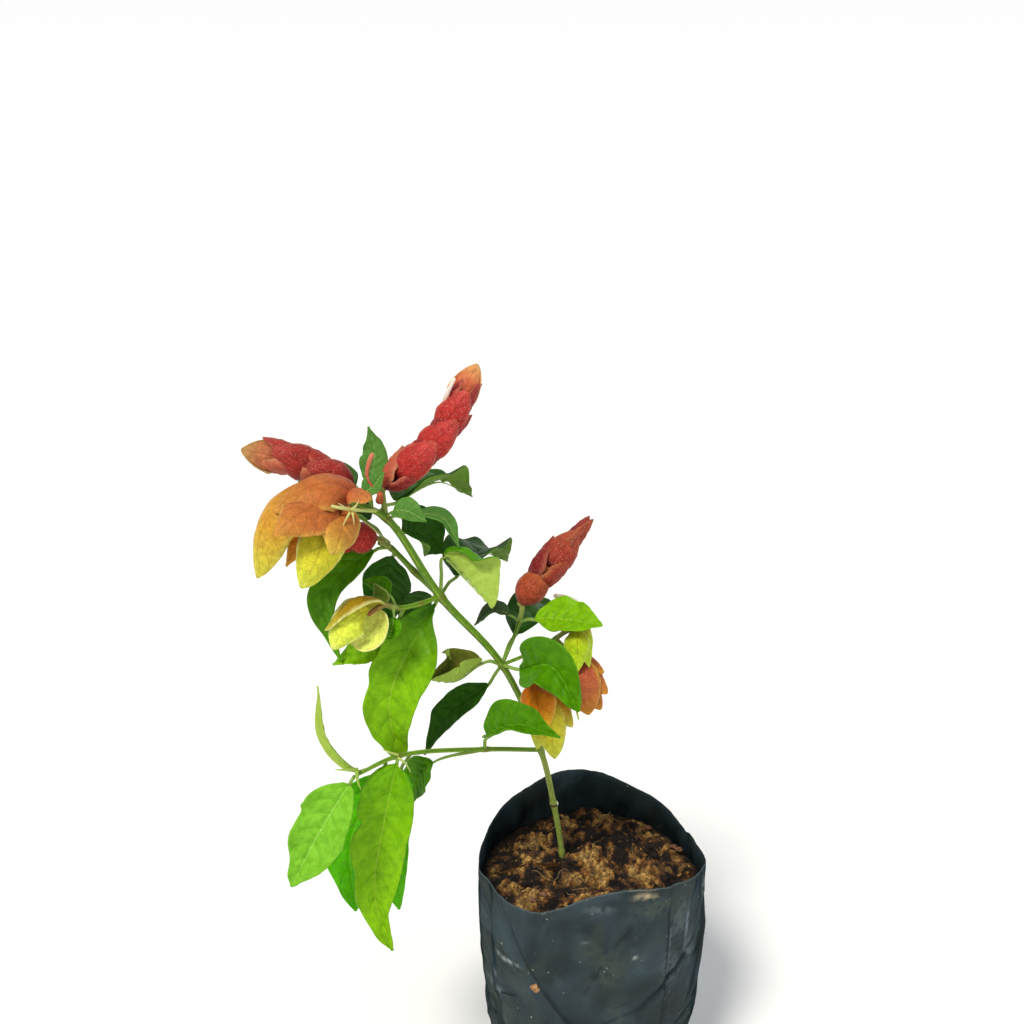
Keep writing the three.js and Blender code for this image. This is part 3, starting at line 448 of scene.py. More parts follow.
# Each leaf skin: its blade's two greens, its rib, how dull it is, how much clear wax lies on it, the
# colour of its side veins and how patchy it is.
FINISHES = {
    "deep": leaf_skin("dark satin leaf skin", "#2c5c06", "#1b4404", "#40721a", 0.4, shine=0.12),
    "dusky": leaf_skin("dull dark leaf skin", "#4c6440", "#36502c", "#78906a", 0.5),
    "mid": leaf_skin("green leaf skin", "#528e04", "#3a7002", "#5c9416", 0.38, 0.03, "#3c7a04", shine=0.12),
    "wet": leaf_skin("glossy wet leaf skin", "#5cc000", "#42a000", "#74c020", 0.26, 0.08, shine=0.08),
    "mottled": leaf_skin(
        "mottled leaf skin", "#80b60a", "#649c04", "#9cba40", 0.42, 0.02, "#548602", 0.8, shine=0.12,
    ),
    "browned": leaf_skin("browned leaf skin", "#6c7024", "#4c5a1c", "#868c3c", 0.5),
    "downy": leaf_skin("downy green leaf skin", "#5c8c3c", "#47762c", "#8aae66", 0.55, veins="#3f6a26"),
    "bright": leaf_skin(
        "young bright leaf skin", "#7ebc30", "#62a21a", "#a0cc60", 0.48, 0.0, "#5a9c16", 0.7, shine=0.12,
    ),
    "under": leaf_skin("pale leaf underside", "#a2bc50", "#8ca83c", "#bcce82", 0.6, veins="#8ea640"),
    "dull_under": leaf_skin("dull leaf underside", "#6d9236", "#577c26", "#93b262", 0.58),
}
BRACT_SKIN = bract_skin()
STEM_SKIN = tinted_skin("ridged green stem skin", 0.45, 0.22, 1.5, 0.12, 0.0001, 0.05)
PETIOLE_SKIN = tinted_skin("petiole skin", 0.5, 0.15, 1.5, 0.0, 0.0001, 0.05)
HAIR_SKIN = tinted_skin("plant hair", 0.4, 0.1, 1.0, 0.0, 0.0, 0.0)
COROLLA_SKIN = tinted_skin("thin corolla skin", 0.5, 0.12, 2.0, 0.0, 0.0001, 0.4)
FILM = bag_film()
SOIL = damp_soil()
WHITE = [1.0, 1.0, 1.0, 1.0]


# ---------------------------------------------------------------- leaves
# Where an ovate blade is widest, as a share of its length.
WIDEST = 0.38


def ovate(share, tipping):
    """Half width of an ovate blade as a share of its widest."""
    rise = WIDEST * tipping / (1 - WIDEST)
    return (share / WIDEST) ** rise * (max(1 - share, 0.0) / (1 - WIDEST)) ** tipping


def outline(stops):
    """The half width along a blade whose edge runs through stops of [reach, half width in mm]."""
    corners = [(100 * reach, half, 0) for reach, half in stops]
    edge = through((-1, -stops[0][1], 0), *corners, (100, 0, 0)).fine
    places = [point.x for point in edge]

    def half_width(reach):
        step = min(max(bisect.bisect_right(places, 100 * reach), 1), len(edge) - 1)
        low, high = edge[step - 1], edge[step]
        return low.y + (high.y - low.y) * min((100 * reach - low.x) / max(high.x - low.x, 1e-6), 1.0)

    return half_width


def vein(side, reach):
    """1 on a side vein of a leaf, and 0 well away from it."""
    count = VEINS * (reach - VEIN_CLIMB * abs(side) ** VEIN_BOW)
    return bell(count - round(count), 0.15) * (1 - abs(side) ** 3)


def rolled(half, edge, tilt, bent, roll):
    """How far out and how far up a blade reaches that tilts, bends on and rolls its margin under."""
    steps = 12
    out = lift = 0.0
    for step in range(steps):
        share = edge * (step + 0.5) / steps
        angle = tilt + bent * share - roll * ease(0.45, 0.8, share)
        out += math.cos(angle) * half * edge / steps
        lift += math.sin(angle) * half * edge / steps
    return out, lift


def leaf(
    name, rib, width, looks, skin, slot, fold=8, curl=20, wave=0.6, ripple=0.25, small=False,
    edges=None, tints=("#ffffff", "#ffffff"), tipping=1.25, roll=0,
):
    """One leaf on its petiole, which runs on under the blade as its midrib. Each half turns up by
    `fold` degrees at the rib and bends on by `curl` degrees; its margin waves by `wave` mm and
    ripples by `ripple` mm. `edges` are the outlines of its two halves, where it isn't plainly
    ovate, and `tints` colour its foot and its tip. `tipping` makes the tip sharper, and `roll`
    rolls the left margin under near the foot, by so many degrees."""
    line = through(*rib)
    stalk = (Vector(rib[1]) - Vector(rib[0])).length / line.length
    across, along, thickness = (16, 30, 0.45) if small else (40, 72, 0.5)
    bent = math.radians(curl)
    shift = sum(rib[-1])
    foot_tint, tip_tint = map(linear, tints)
    sides = [outline(stops) for stops in edges or ()]

    def upward(share):
        forward = line.heading(share)
        up = Vector(looks)
        return (up - forward * up.dot(forward)).normalized()

    def place(side, reach):
        share = stalk + (1 - stalk) * reach
        up = upward(share)
        right = up.cross(line.heading(share))
        flat = 1.0 if side >= 0 else -1.0
        edge = abs(side)
        spread = sides[int(flat > 0)](reach) if sides else width / 2 * ovate(reach, tipping)
        half = max(spread * (1 + 0.03 * rough((reach * 9, flat * 7, shift), 1.5)), 0.3)
        turned_in = math.radians(roll) * ease(0.62, 0.25, reach) if flat < 0 else 0.0
        out, lift = rolled(half, edge, math.radians(fold), bent, turned_in)
        sway = wave * side * side * math.sin(reach * 17 + 2 * side) * ease(0.3, 4, half)
        # It is sunk along its rib and its side veins, and quilted between them, where it is wide.
        wide = min(half / 6, 1)
        climb = reach - VEIN_CLIMB * edge**VEIN_BOW
        relief = -0.4 * bell(edge * half, 0.8) * ease(0.3, 2, half) - 0.35 * vein(side, reach) * wide
        relief += 0.42 * abs(math.sin(math.pi * VEINS * climb)) * (1 - edge) * wide
        relief += ripple * edge**3 * math.sin(reach * 27 + shift + flat) * wide
        relief += 0.5 * rough((side * 9, reach * 26, shift), 6) * edge * ease(0.3, 3, half)
        relief += 0.22 * rough((side * 30, reach * 60, shift), 9) * (1 - edge) * min(half / 5, 1)
        point = line.at(share) + right * (flat * out) + up * (lift + sway + relief)
        tint = blend(foot_tint, WHITE, ease(0.0, 0.5, reach))
        return point, blend(tint, tip_tint, ease(0.45, 1.0, reach))

    girth = 0.45 if small else 0.65
    green, pale = linear("#79993a"), linear("#9fbc62")

    def thick(share, turn=0):
        return girth * (1.1 - 0.9 * ease(0.1, 0.95, share))

    def under(share):
        depth = (0.2 if small else 0.45 + 0.75 * ease(0.98, 0.75, share)) + 0.9 * thick(share)
        return upward(share) * (-depth * ease(0.5 * stalk, 1.1 * stalk, share))

    def stalk_colour(share, turn):
        return blend(green, pale, share)

    def away(spot):
        return (spot - line.fine[0]).length

    blade = thicken(grid(across, along, place), thickness, inner=1)
    # The petiole comes out of the nearest stem.
    foot = min((spot for way in STEM_LINES for spot in way.fine), key=away)
    rooted = Line([foot, *line.fine[1:]])
    stalk_tube = tube(rooted, thick, 8, 36, stalk_colour, end=0.93, drop=under)
    for face in stalk_tube.faces:
        face.material_index = 2
    under_skin = "dull_under" if slot == DEEP else "under"
    finishes = [FINISHES[skin], FINISHES[under_skin], PETIOLE_SKIN]
    return piece(f"{name}_blade", join(blade, stalk_tube), slot, finishes, [name])


# The nodes of the stems, where leaves and branches leave them.
ROOTED = (-9, 12, 50)
COLLAR = (-12, 11, 104)
SCAR = (-16, 9, 131)
LOW = (-22, 4, 161)
MIDDLE = (-38, -8, 207)
FORK = (-61, -20, 242)
UPPER = (-79, -30, 277)
CROWN = (-89, -34, 284)
LOW_FORK = (-45, -12, 171)
LOW_END = (-77, -38, 184)
LOW_TIP = (-92, -50, 183)
TWIN = (-80, -13, 259)
FRONT_NODE = (-76, -33, 243)
RIGHT_NODE = (-31, 2, 221)
STALKS_NODE = (-17, -7, 218)

# Each branch: its points from node to node, and its radius at each.
STEMS = {
    "main_stem": (
        [ROOTED, COLLAR, SCAR, LOW, MIDDLE, FORK, UPPER, CROWN],
        [1.05, 1.15, 1.15, 1.2, 1.3, 1.5, 1.25, 1.05],
    ),
    "low_branch": ([LOW, LOW_FORK, LOW_END, LOW_TIP], [1, 1, 0.9, 0.7]),
    "twin_branch": ([FORK, (-71, -11, 248), TWIN, (-84, -16, 262)], [1.1, 1.1, 1, 0.8]),
    "front_branch": ([FORK, (-68, -27, 242), FRONT_NODE, (-79, -34, 244)], [1, 0.9, 0.9, 0.8]),
    "right_branch": ([MIDDLE, RIGHT_NODE, (-30, 4, 227)], [0.8, 0.7, 0.7]),
    "stalk_branch": ([MIDDLE, (-27, -4, 210), STALKS_NODE, (-9, -13, 226)], [0.75, 0.7, 0.65, 0.6]),
}
STEM_LINES = [through(*points) for points, _ in STEMS.values()]

# How a leaf is held, and the leaves' slots.
FLAT = {"fold": 8, "curl": 20, "wave": 0.6}
WAVY = {"fold": 12, "curl": 25, "wave": 1.4}
FOLDED = {"fold": 32, "curl": 25, "wave": 0.8}
SMALL = {"fold": 14, "curl": 20, "wave": 0.0, "ripple": 0.2, "small": True}
DEEP, FRESH, PALE = "deep_leaf", "fresh_leaf", "pale_leaf"

# The outlines of the leaves that aren't plainly ovate, half by half, as [reach, half width in mm].
LOW_FRONT_EDGES = [
    [
        (0.02, 5.5), (0.06, 9.4), (0.11, 11.3), (0.17, 11.8), (0.23, 11.5), (0.28, 10.4), (0.3, 8.6),
        (0.34, 10.2), (0.385, 11.8), (0.44, 11.9), (0.49, 10.9), (0.54, 8.8), (0.58, 7.7), (0.65, 7.5),
        (0.72, 7.4), (0.79, 6.1), (0.87, 4.1), (0.94, 2.1),
    ],
    [
        (0.03, 4.4), (0.075, 7.5), (0.12, 9.5), (0.175, 10.7), (0.24, 11.4), (0.32, 11.1),
        (0.36, 10.8), (0.42, 11.2), (0.54, 10.8), (0.64, 9.5), (0.75, 6.3), (0.8, 4.5), (0.87, 3.0),
        (0.93, 1.8),
    ],
]
LOW_LEFT_EDGES = [
    [
        (0.01, 2.4), (0.04, 4.6), (0.09, 7.4), (0.15, 9.4), (0.28, 10.9), (0.345, 11.4), (0.37, 10.4),
        (0.43, 9.8), (0.55, 9.4), (0.66, 8.0), (0.78, 5.8), (0.9, 3.0), (0.97, 1.1),
    ],
    [
        (0.01, 2.8), (0.07, 5.5), (0.17, 8.2), (0.3, 11.0), (0.4, 12.8), (0.55, 11.8), (0.62, 10.8),
        (0.7, 9.4), (0.84, 5.8), (0.94, 2.4),
    ],
]
FORK_FRONT_EDGES = [
    [
        (0.02, 1.8), (0.05, 4.6), (0.085, 6.2), (0.12, 7.4), (0.177, 9.8), (0.224, 11.4), (0.27, 11.2),
        (0.316, 10.6), (0.381, 10.6), (0.427, 11.2), (0.473, 10.8), (0.519, 9.2), (0.566, 9.4),
        (0.612, 10.0), (0.667, 9.8), (0.732, 9.4), (0.797, 8.2), (0.843, 6.4), (0.917, 4.4),
        (0.982, 1.8),
    ],
    [
        (0.03, 1.3), (0.07, 2.2), (0.11, 4.4), (0.159, 7.8), (0.219, 11.0), (0.288, 13.4),
        (0.344, 13.8), (0.418, 13.8), (0.482, 13.2), (0.603, 11.2), (0.704, 9.0), (0.778, 7.2),
        (0.871, 5.2), (0.963, 2.6),
    ],
]
MIDDLE_SMALL_EDGES = [
    [(0.03, 2.5), (0.15, 7.0), (0.35, 11.5), (0.55, 11.5), (0.8, 7.0), (0.95, 2.4)],
    [(0.03, 2.2), (0.15, 6.0), (0.35, 9.5), (0.6, 8.0), (0.8, 4.8), (0.95, 1.6)],
]
RIGHT_PALE_EDGES = [
    [
        (0.03, 1.0), (0.1, 2.6), (0.2, 4.6), (0.35, 6.8), (0.5, 7.6), (0.7, 6.0), (0.85, 3.6),
        (0.95, 1.5),
    ],
    [
        (0.03, 2.2), (0.1, 5.0), (0.2, 7.6), (0.35, 9.0), (0.5, 8.8), (0.7, 6.8), (0.85, 4.0),
        (0.95, 1.5),
    ],
]
MIDDLE_RIGHT_EDGES = [
    [
        (0.02, 1.5), (0.08, 4.6), (0.16, 8.0), (0.3, 10.8), (0.45, 11.2), (0.6, 9.4), (0.8, 5.2),
        (0.93, 2.2),
    ],
    [
        (0.02, 1.2), (0.1, 3.2), (0.2, 6.4), (0.3, 10.0), (0.45, 13.4), (0.6, 12.6), (0.8, 8.0),
        (0.93, 3.4),
    ],
]

# Each leaf: its rib from the stem to its tip, of which the second point is where the blade begins,
# its width, the way its upper face looks, its skin, its slot and its form.
LEAVES = {
    "leaf_low_over": (
        [LOW_FORK, (-44, -16, 180), (-32, -25, 190), (-16, -36, 191)],
        20, (-0.2, -0.5, 0.85), "mid", DEEP, FOLDED,
    ),
    "leaf_low_under": (
        [LOW_FORK, (-66, -20, 170), (-72, -18, 160), (-75, -18, 149)],
        15, (-0.6, -0.7, 0.4), "mid", DEEP, FLAT,
    ),
    "leaf_low_front": (
        [LOW_END, (-77.5, -41, 182), (-84.5, -46, 150), (-87, -49, 128), (-80.5, -53, 106)],
        24, (0.05, -1, 0.25), "mottled", FRESH,
        {**WAVY, "edges": LOW_FRONT_EDGES, "tints": ("#dceccc", "#fffcb8")},
    ),
    "leaf_low_behind": (
        [(-81, -41, 185), (-84, -36, 174), (-97, -36, 145), (-96, -41, 115)],
        24, (0, -1, 0.35), "wet", DEEP, {**FLAT, "tipping": 0.9},
    ),
    "leaf_low_hidden": (
        [(-73, -34, 182), (-77, -29, 172), (-83, -27, 138), (-80, -30, 107)],
        17, (0.1, -1, 0.2), "wet", FRESH, {**FLAT, "tipping": 0.8},
    ),
    "leaf_low_left": (
        [LOW_TIP, (-94, -53, 181), (-105, -58, 164), (-116, -62, 143)],
        22, (-0.2, -0.9, 0.4), "bright", FRESH, {**WAVY, "edges": LOW_LEFT_EDGES},
    ),
    "leaf_low_curled": (
        [(-88, -47, 184), (-92, -49, 184.5), (-102, -49, 197.5), (-104.5, -46, 218)],
        6.5, (-0.7, -0.5, 0.3), "under", PALE, SMALL,
    ),
    "leaf_middle_left": (
        [MIDDLE, (-44, -8, 198.5), (-60, -9, 185.5), (-69.5, -12, 168.5)],
        12.5, (-0.3, -0.7, 0.65), "deep", DEEP, FLAT,
    ),
    "leaf_middle_small": (
        [MIDDLE, (-46, -14, 212), (-55.5, -20, 207.5), (-64.5, -25, 210)],
        20, (-0.1, -0.1, 1), "browned", PALE,
        {"fold": 56, "wave": 0.3, "ripple": 0.1, "edges": MIDDLE_SMALL_EDGES},
    ),
    "leaf_middle_right": (
        [MIDDLE, (-31, -16, 209), (-19, -29, 217), (-9, -38, 203)],
        27, (-0.3, -0.8, 0.45), "mid", DEEP, {**FOLDED, "edges": MIDDLE_RIGHT_EDGES},
    ),
    "leaf_middle_back": (
        [MIDDLE, (-33, 8, 213), (-20, 28, 214), (-6, 48, 198)],
        26, (0.2, 0.3, 0.9), "deep", DEEP, WAVY,
    ),
    "leaf_right_arched": (
        [RIGHT_NODE, (-35.2, 4, 223.5), (-41.2, 5, 225), (-49.3, 6, 217.7)],
        9, (-0.1, -0.25, 1), "dusky", DEEP, SMALL,
    ),
    "leaf_right_pale": (
        [RIGHT_NODE, (-25, -3, 225), (-12, -13, 229), (0, -22, 231)],
        19, (0, -0.6, 0.8), "mottled", FRESH, {**FLAT, "edges": RIGHT_PALE_EDGES},
    ),
    "leaf_fork_front": (
        [FORK, (-63, -22, 239.5), (-79, -33, 210), (-80, -33, 195), (-76, -30, 179)],
        26, (0, -0.9, 0.45), "mottled", FRESH,
        {**WAVY, "edges": FORK_FRONT_EDGES, "tints": ("#86a470", "#f6f4b0")},
    ),
    "leaf_fork_turned": (
        [FORK, (-59, -14, 256), (-51, -17, 249), (-41, -21, 238)],
        28, (0.45, 0.75, 0.5), "mid", PALE, {**FOLDED, "fold": 48, "tipping": 0.85, "roll": 150},
    ),
    "leaf_fork_dark": (
        [FORK, (-65, -12, 238), (-71, -5, 228), (-78, -3, 213)],
        15, (0, -0.8, 0.5), "deep", DEEP, FLAT,
    ),
    "leaf_fork_back": (
        [FORK, (-56, -6, 245), (-46, 17, 246), (-36, 37, 233)],
        26, (0.1, 0.3, 0.9), "deep", DEEP, WAVY,
    ),
    "leaf_front_small": (
        [FRONT_NODE, (-79, -29, 247), (-84, -27, 250), (-89, -26, 251)],
        8, (-0.2, -0.4, 0.9), "mid", FRESH, SMALL,
    ),
    "leaf_front_narrow": (
        [(-77, -34, 244), (-77, -37, 241), (-77.5, -39, 237.5), (-79, -40, 233.5)],
        9, (-0.3, -0.9, 0.2), "mid", DEEP, SMALL,
    ),
    "leaf_front_under": (
        [(-73, -31, 243), (-79, -24, 231), (-88, -27, 224.5), (-101, -31, 219)],
        13, (0, -0.8, 0.6), "mottled", PALE, FLAT,
    ),
    "leaf_twin_long": (
        [TWIN, (-86, -16, 259), (-103, -27, 245), (-98, -33, 221)],
        14, (-0.5, -0.8, 0.3), "mid", FRESH, FLAT,
    ),
    "leaf_twin_dark": (
        [(-78, -13, 256), (-80, -6, 252), (-83, -1, 237), (-82, 1, 220)],
        20, (0, -1, 0.2), "deep", DEEP, FLAT,
    ),
    "leaf_twin_back": (
        [(-82, -12, 261), (-89, -1, 266), (-104, 10, 267), (-122, 20, 253)],
        23, (-0.2, 0.3, 0.9), "deep", DEEP, WAVY,
    ),
    "leaf_upper_small": (
        [UPPER, (-76, -33, 281), (-71, -36, 282), (-64, -36, 278)],
        10, (0, -0.6, 0.8), "downy", PALE, SMALL,
    ),
    "leaf_upper_narrow": (
        [UPPER, (-68, -22, 276), (-59, -17, 272), (-53.5, -16, 260)],
        6.5, (0.2, -0.6, 0.7), "downy", PALE, SMALL,
    ),
    "leaf_upper_dark": (
        [(-77, -29, 274), (-74, -20, 269), (-68, -9, 263), (-60, -2, 252)],
        20, (0, -0.7, 0.6), "deep", DEEP, FLAT,
    ),
    "leaf_upper_back": (
        [(-82, -31, 279), (-77, -18, 280), (-62, 3, 281), (-50, 20, 268)],
        24, (0.1, 0.3, 0.9), "deep", DEEP, WAVY,
    ),
    "leaf_crown_small": (
        [(-88, -34, 284), (-86, -35, 288), (-83, -33, 290), (-79, -32, 295)],
        8, (-0.3, -0.8, 0.4), "downy", PALE, SMALL,
    ),
    "leaf_crown_behind": (
        [(-84, -32, 281), (-85, -23, 288), (-84, -14, 297), (-86.5, -11, 305.5)],
        10.5, (-0.1, -1, 0), "downy", FRESH, FLAT,
    ),
    "leaf_crown_back": (
        [(-90, -33, 282), (-95, -20, 279), (-104, -2, 283), (-119, 12, 275)],
        20, (-0.2, 0.2, 0.95), "deep", DEEP, WAVY,
    ),
}
for leaf_name, (*row, form) in LEAVES.items():
    leaf(leaf_name, *row, **form)


# ---------------------------------------------------------------- stems
def stem(name, points, radii):
    """A branch with four rounded ridges, thicker at its nodes, where brown rings run round it."""
    line = through(*points)
    last = len(points) - 1
    main = name == "main_stem"
    sides, rows = (24, 260) if main else (16, 110)
    green, ridge = linear("#5a8412"), linear("#98b23a")
    flank, bark, aged = linear("#426a14"), linear("#6a5426"), linear("#98a850")

    def near_node(share):
        """Distance in millimetres to the nearest node."""
        place = min(max(round(share * last), 1), last - 1)
        return (line.by_points(share) - Vector(points[place])).length

    def radius(share, turn):
        place = min(share * last, last - 1e-6)
        step = int(place)
        plain = radii[step] + (radii[step + 1] - radii[step]) * (place - step)
        away = near_node(share)
        swelling = 1 + 0.32 * bell(away, 2.2) - 0.12 * bell(away, 0.5)
        return plain * swelling * (1 + 0.06 * math.cos(4 * turn))

    def colour(share, turn):
        away = near_node(share)
        point = line.by_points(share)
        tint = blend(green, ridge, 0.8 * ease(0.4, 1.0, math.cos(4 * turn)))
        tint = blend(tint, flank, 0.7 * ease(0.15, 0.6, rough((point.x, point.y, point.z + 9 * turn), 5)))
        tint = blend(tint, bark, 0.45 * bell(away, 0.7) + 0.2 * bell(away, 2.5))
        # The main stem is old and pale below its first branch.
        return blend(tint, aged, 0.85 * ease(172, 150, point.z)) if main else tint

    made = tube(line, radius, sides, rows, colour, by_points=True)
    if main:
        join(made, scar_ring(line, points.index(SCAR) / last))
    return piece(f"{name}_skin", made, "green_stem", [STEM_SKIN], [name])


def scar_ring(line, share):
    """The corky ring that an old pair of leaves left, with a pale crescent on one side."""
    forward = line.heading(share, by_points=True)
    centre = line.by_points(share)
    right, back = sideways(forward)
    cork, pale = linear("#4a3016"), linear("#e4e4c4")

    def place(side, around):
        turn, bend = math.pi * side, 2 * math.pi * around
        lip = 1.25 if abs(side + 0.12) < 0.3 else 0.8
        reach = 1.55 + 0.4 * lip * math.cos(bend)
        point = centre + right * (math.cos(turn) * reach) + back * (math.sin(turn) * reach)
        tint = pale if lip > 1 else cork
        return point + forward * (0.55 * lip * math.sin(bend)), tint

    ring = grid(40, 12, place)
    bmesh.ops.remove_doubles(ring, verts=ring.verts, dist=1e-3)
    bmesh.ops.recalc_face_normals(ring, faces=ring.faces)
    return ring


for stem_name, (points, radii) in STEMS.items():
    stem(stem_name, points, radii)


# ---------------------------------------------------------------- flower spikes
# Each kind of bract: its colour at the root, the middle and the tip, along its margin and inside.
PALETTES = {
    "red": ["#a22724", "#c0352f", "#cb4841", "#ca6e4c", "#c4664e"],
    "crimson": ["#8e2424", "#a8342c", "#b4443a", "#b46048", "#a05440"],
    # Painted shade: 'side' is a darker copy of 'red' for the bracts on the shaded side of a spike.
    "side": ["#7c1e1e", "#9c2c2c", "#b04440", "#c06c54", "#a85a4c"],
    "salmon": ["#b44838", "#c46044", "#cc7854", "#d48c64", "#cc8a60"],
    "tan": ["#b8503c", "#c07048", "#bc9252", "#c6a064", "#b89c58"],
    "tip_peach": ["#c8443a", "#da6c48", "#e8a866", "#ecb47c", "#dca068"],
    "front": ["#b65630", "#ca7438", "#d4943e", "#dca84c", "#cc8e48"],
    "capped": ["#c05c38", "#cc7240", "#d08644", "#d8a04e", "#a8a834"],
    "peach": ["#c06034", "#d4903e", "#debc48", "#e2c258", "#d8b648"],
    "sunset": ["#bc5428", "#dca238", "#dcd444", "#e4d25c", "#dcd44c"],
    "sunny": ["#cc8a34", "#ded432", "#e0e648", "#eae976", "#e0df54"],
    "flame": ["#d8603a", "#f08a34", "#f8b444", "#f4c458", "#f0a850"],
    "bud": ["#d2cc30", "#eafa4c", "#f2ff60", "#f8faac", "#f2fa88"],
    "ochre": ["#846a08", "#a6860c", "#c4bc24", "#e8e890", "#d4d64a"],
    "leafy": ["#6c7c1c", "#587c14", "#648a20", "#a4b860", "#7c9c34"],
    "green_lime": ["#b4ac1c", "#bee01c", "#cceb34", "#dcec6c", "#d0e24c"],
    "dark": ["#6a1a1c", "#8c2828", "#a03a32", "#a85c44", "#84443a"],
    "rosy": ["#842820", "#aa402e", "#b45436", "#b86c44", "#9c5838"],
    "orange": ["#a03a24", "#b24e2e", "#bc6838", "#c47c44", "#b06434"],
    "orange_top": ["#b45204", "#e08610", "#f0bc28", "#f0c84c", "#dca83c"],
    "amber": ["#9c5408", "#cc8c18", "#dcd240", "#e0d860", "#d4cc50"],
    "pink": ["#b04432", "#c6683e", "#d68c34", "#e4b034", "#cc8c3c"],
}
PALETTES = {name: [linear(colour) for colour in row] for name, row in PALETTES.items()}
# How far a bract's foot stands off the core.
ROOT = 0.45


def bract(foot, crest, tip, width, looks, palette, seed, curl=75, tipping=0.62, ragged=0.3):
    """One cupped bract from foot to tip. Its hollow side looks the way that `looks` says."""
    foot, crest, tip = Vector(foot), Vector(crest), Vector(tip)
    line = arched(foot + (crest - foot).normalized() * ROOT, crest, tip)
    bent, tilt = math.radians(curl), math.radians(4)
    root, middle, end, margin, inside = PALETTES[palette]
    hairs = []

    def place(side, reach):
        forward = line.heading(reach)
        up = Vector(looks)
        up = (up - forward * up.dot(forward)).normalized()
        right = up.cross(forward)
        edge = abs(side)
        flat = 1.0 if side >= 0 else -1.0
        torn = 1 + 0.04 * edge * rough((reach * 9, flat * 9, seed), 2)
        half = max(width / 2 * ovate(reach, tipping) * torn, 0.25)
        out = half / bent * math.sin(bent * edge)
        lift = half / bent * (1 - math.cos(bent * side))
        count = BRACT_VEINS * (reach - BRACT_VEIN_CLIMB * edge)
        relief = 0.25 * bell(count - round(count), 0.2) * (1 - edge**2) + 0.3 * bell(edge * half, 0.8)
        relief += ragged * edge**3 * math.sin(reach * 13 + seed + flat)
        relief += 0.5 * rough((side * 8, reach * 17, seed), 7)
        point = line.at(reach) + right * (flat * (out * math.cos(tilt) - lift * math.sin(tilt)))
        point += up * (out * math.sin(tilt) + lift * math.cos(tilt) + relief * min(half / 4, 1))
        tint = gradient([[0.0, root], [0.5, middle], [1.0, end]], reach)
        tint = blend(tint, margin, 0.85 * ease(0.72, 1.0, edge) + 0.4 * ease(0.86, 1.0, reach) * (1 - edge))
        # Bristles stand all along the margin, and hairs here and there on the back.
        if edge > 0.99 and reach > 0.1:
            hairs.append((point, (right * flat + forward * 0.5 - up * 0.3).normalized()))
        elif noise.random() < 0.05 and 0.1 < reach < 0.95:
            hairs.append((point - up * 0.4, (-up + forward * 0.8).normalized()))
        return point, tint

    noise.seed_set(int(seed * 10) + 1)
    across, along, thickness = 22, 26, 0.4
    sheet = grid(across, along, place)
    tint = sheet.verts.layers.float_color["tint"]
    hollow = set(sheet.verts)
    thicken(sheet, thickness)
    for vert in hollow:
        vert[tint] = blend(vert[tint], inside, 0.6)
    return sheet, hairs


def paired_bracts(core, pairs, length, width, turn, openings, first=1.0, gaping=0.0):
    """Crossed pairs of bracts up a core, each pair lying over the next like tiles, as [foot, crest,
    tip, width, looks, form]. `openings` say how far the tips of the two crossing rows stand out,
    `first` is the size of the lowest pair and `gaping` how much further out its tips stand."""
    axis = through(*core)
    made = []
    for pair in range(pairs):
        share = 0.8 * pair / (pairs - 1)
        forward = axis.heading(share)
        right, back = sideways(forward)
        last = pair == pairs - 1
        size = 1 - 0.15 * share if pair else first
        for half in (0, 180):
            angle = math.radians(turn + 90 * (pair % 2) + half)
            outward = right * math.cos(angle) + back * math.sin(angle)
            reach = length * size
            foot = axis.at(share)
            crest = foot + forward * (0.2 * reach) + outward * ((0.4 if last else 0.5) * width * size)
            opening = 0.05 if last else openings[pair % 2] + (0 if pair else gaping)
            tip = foot + forward * reach + outward * (opening * width)
            made.append((foot, crest, tip, width * size, -outward, {}))
    return made


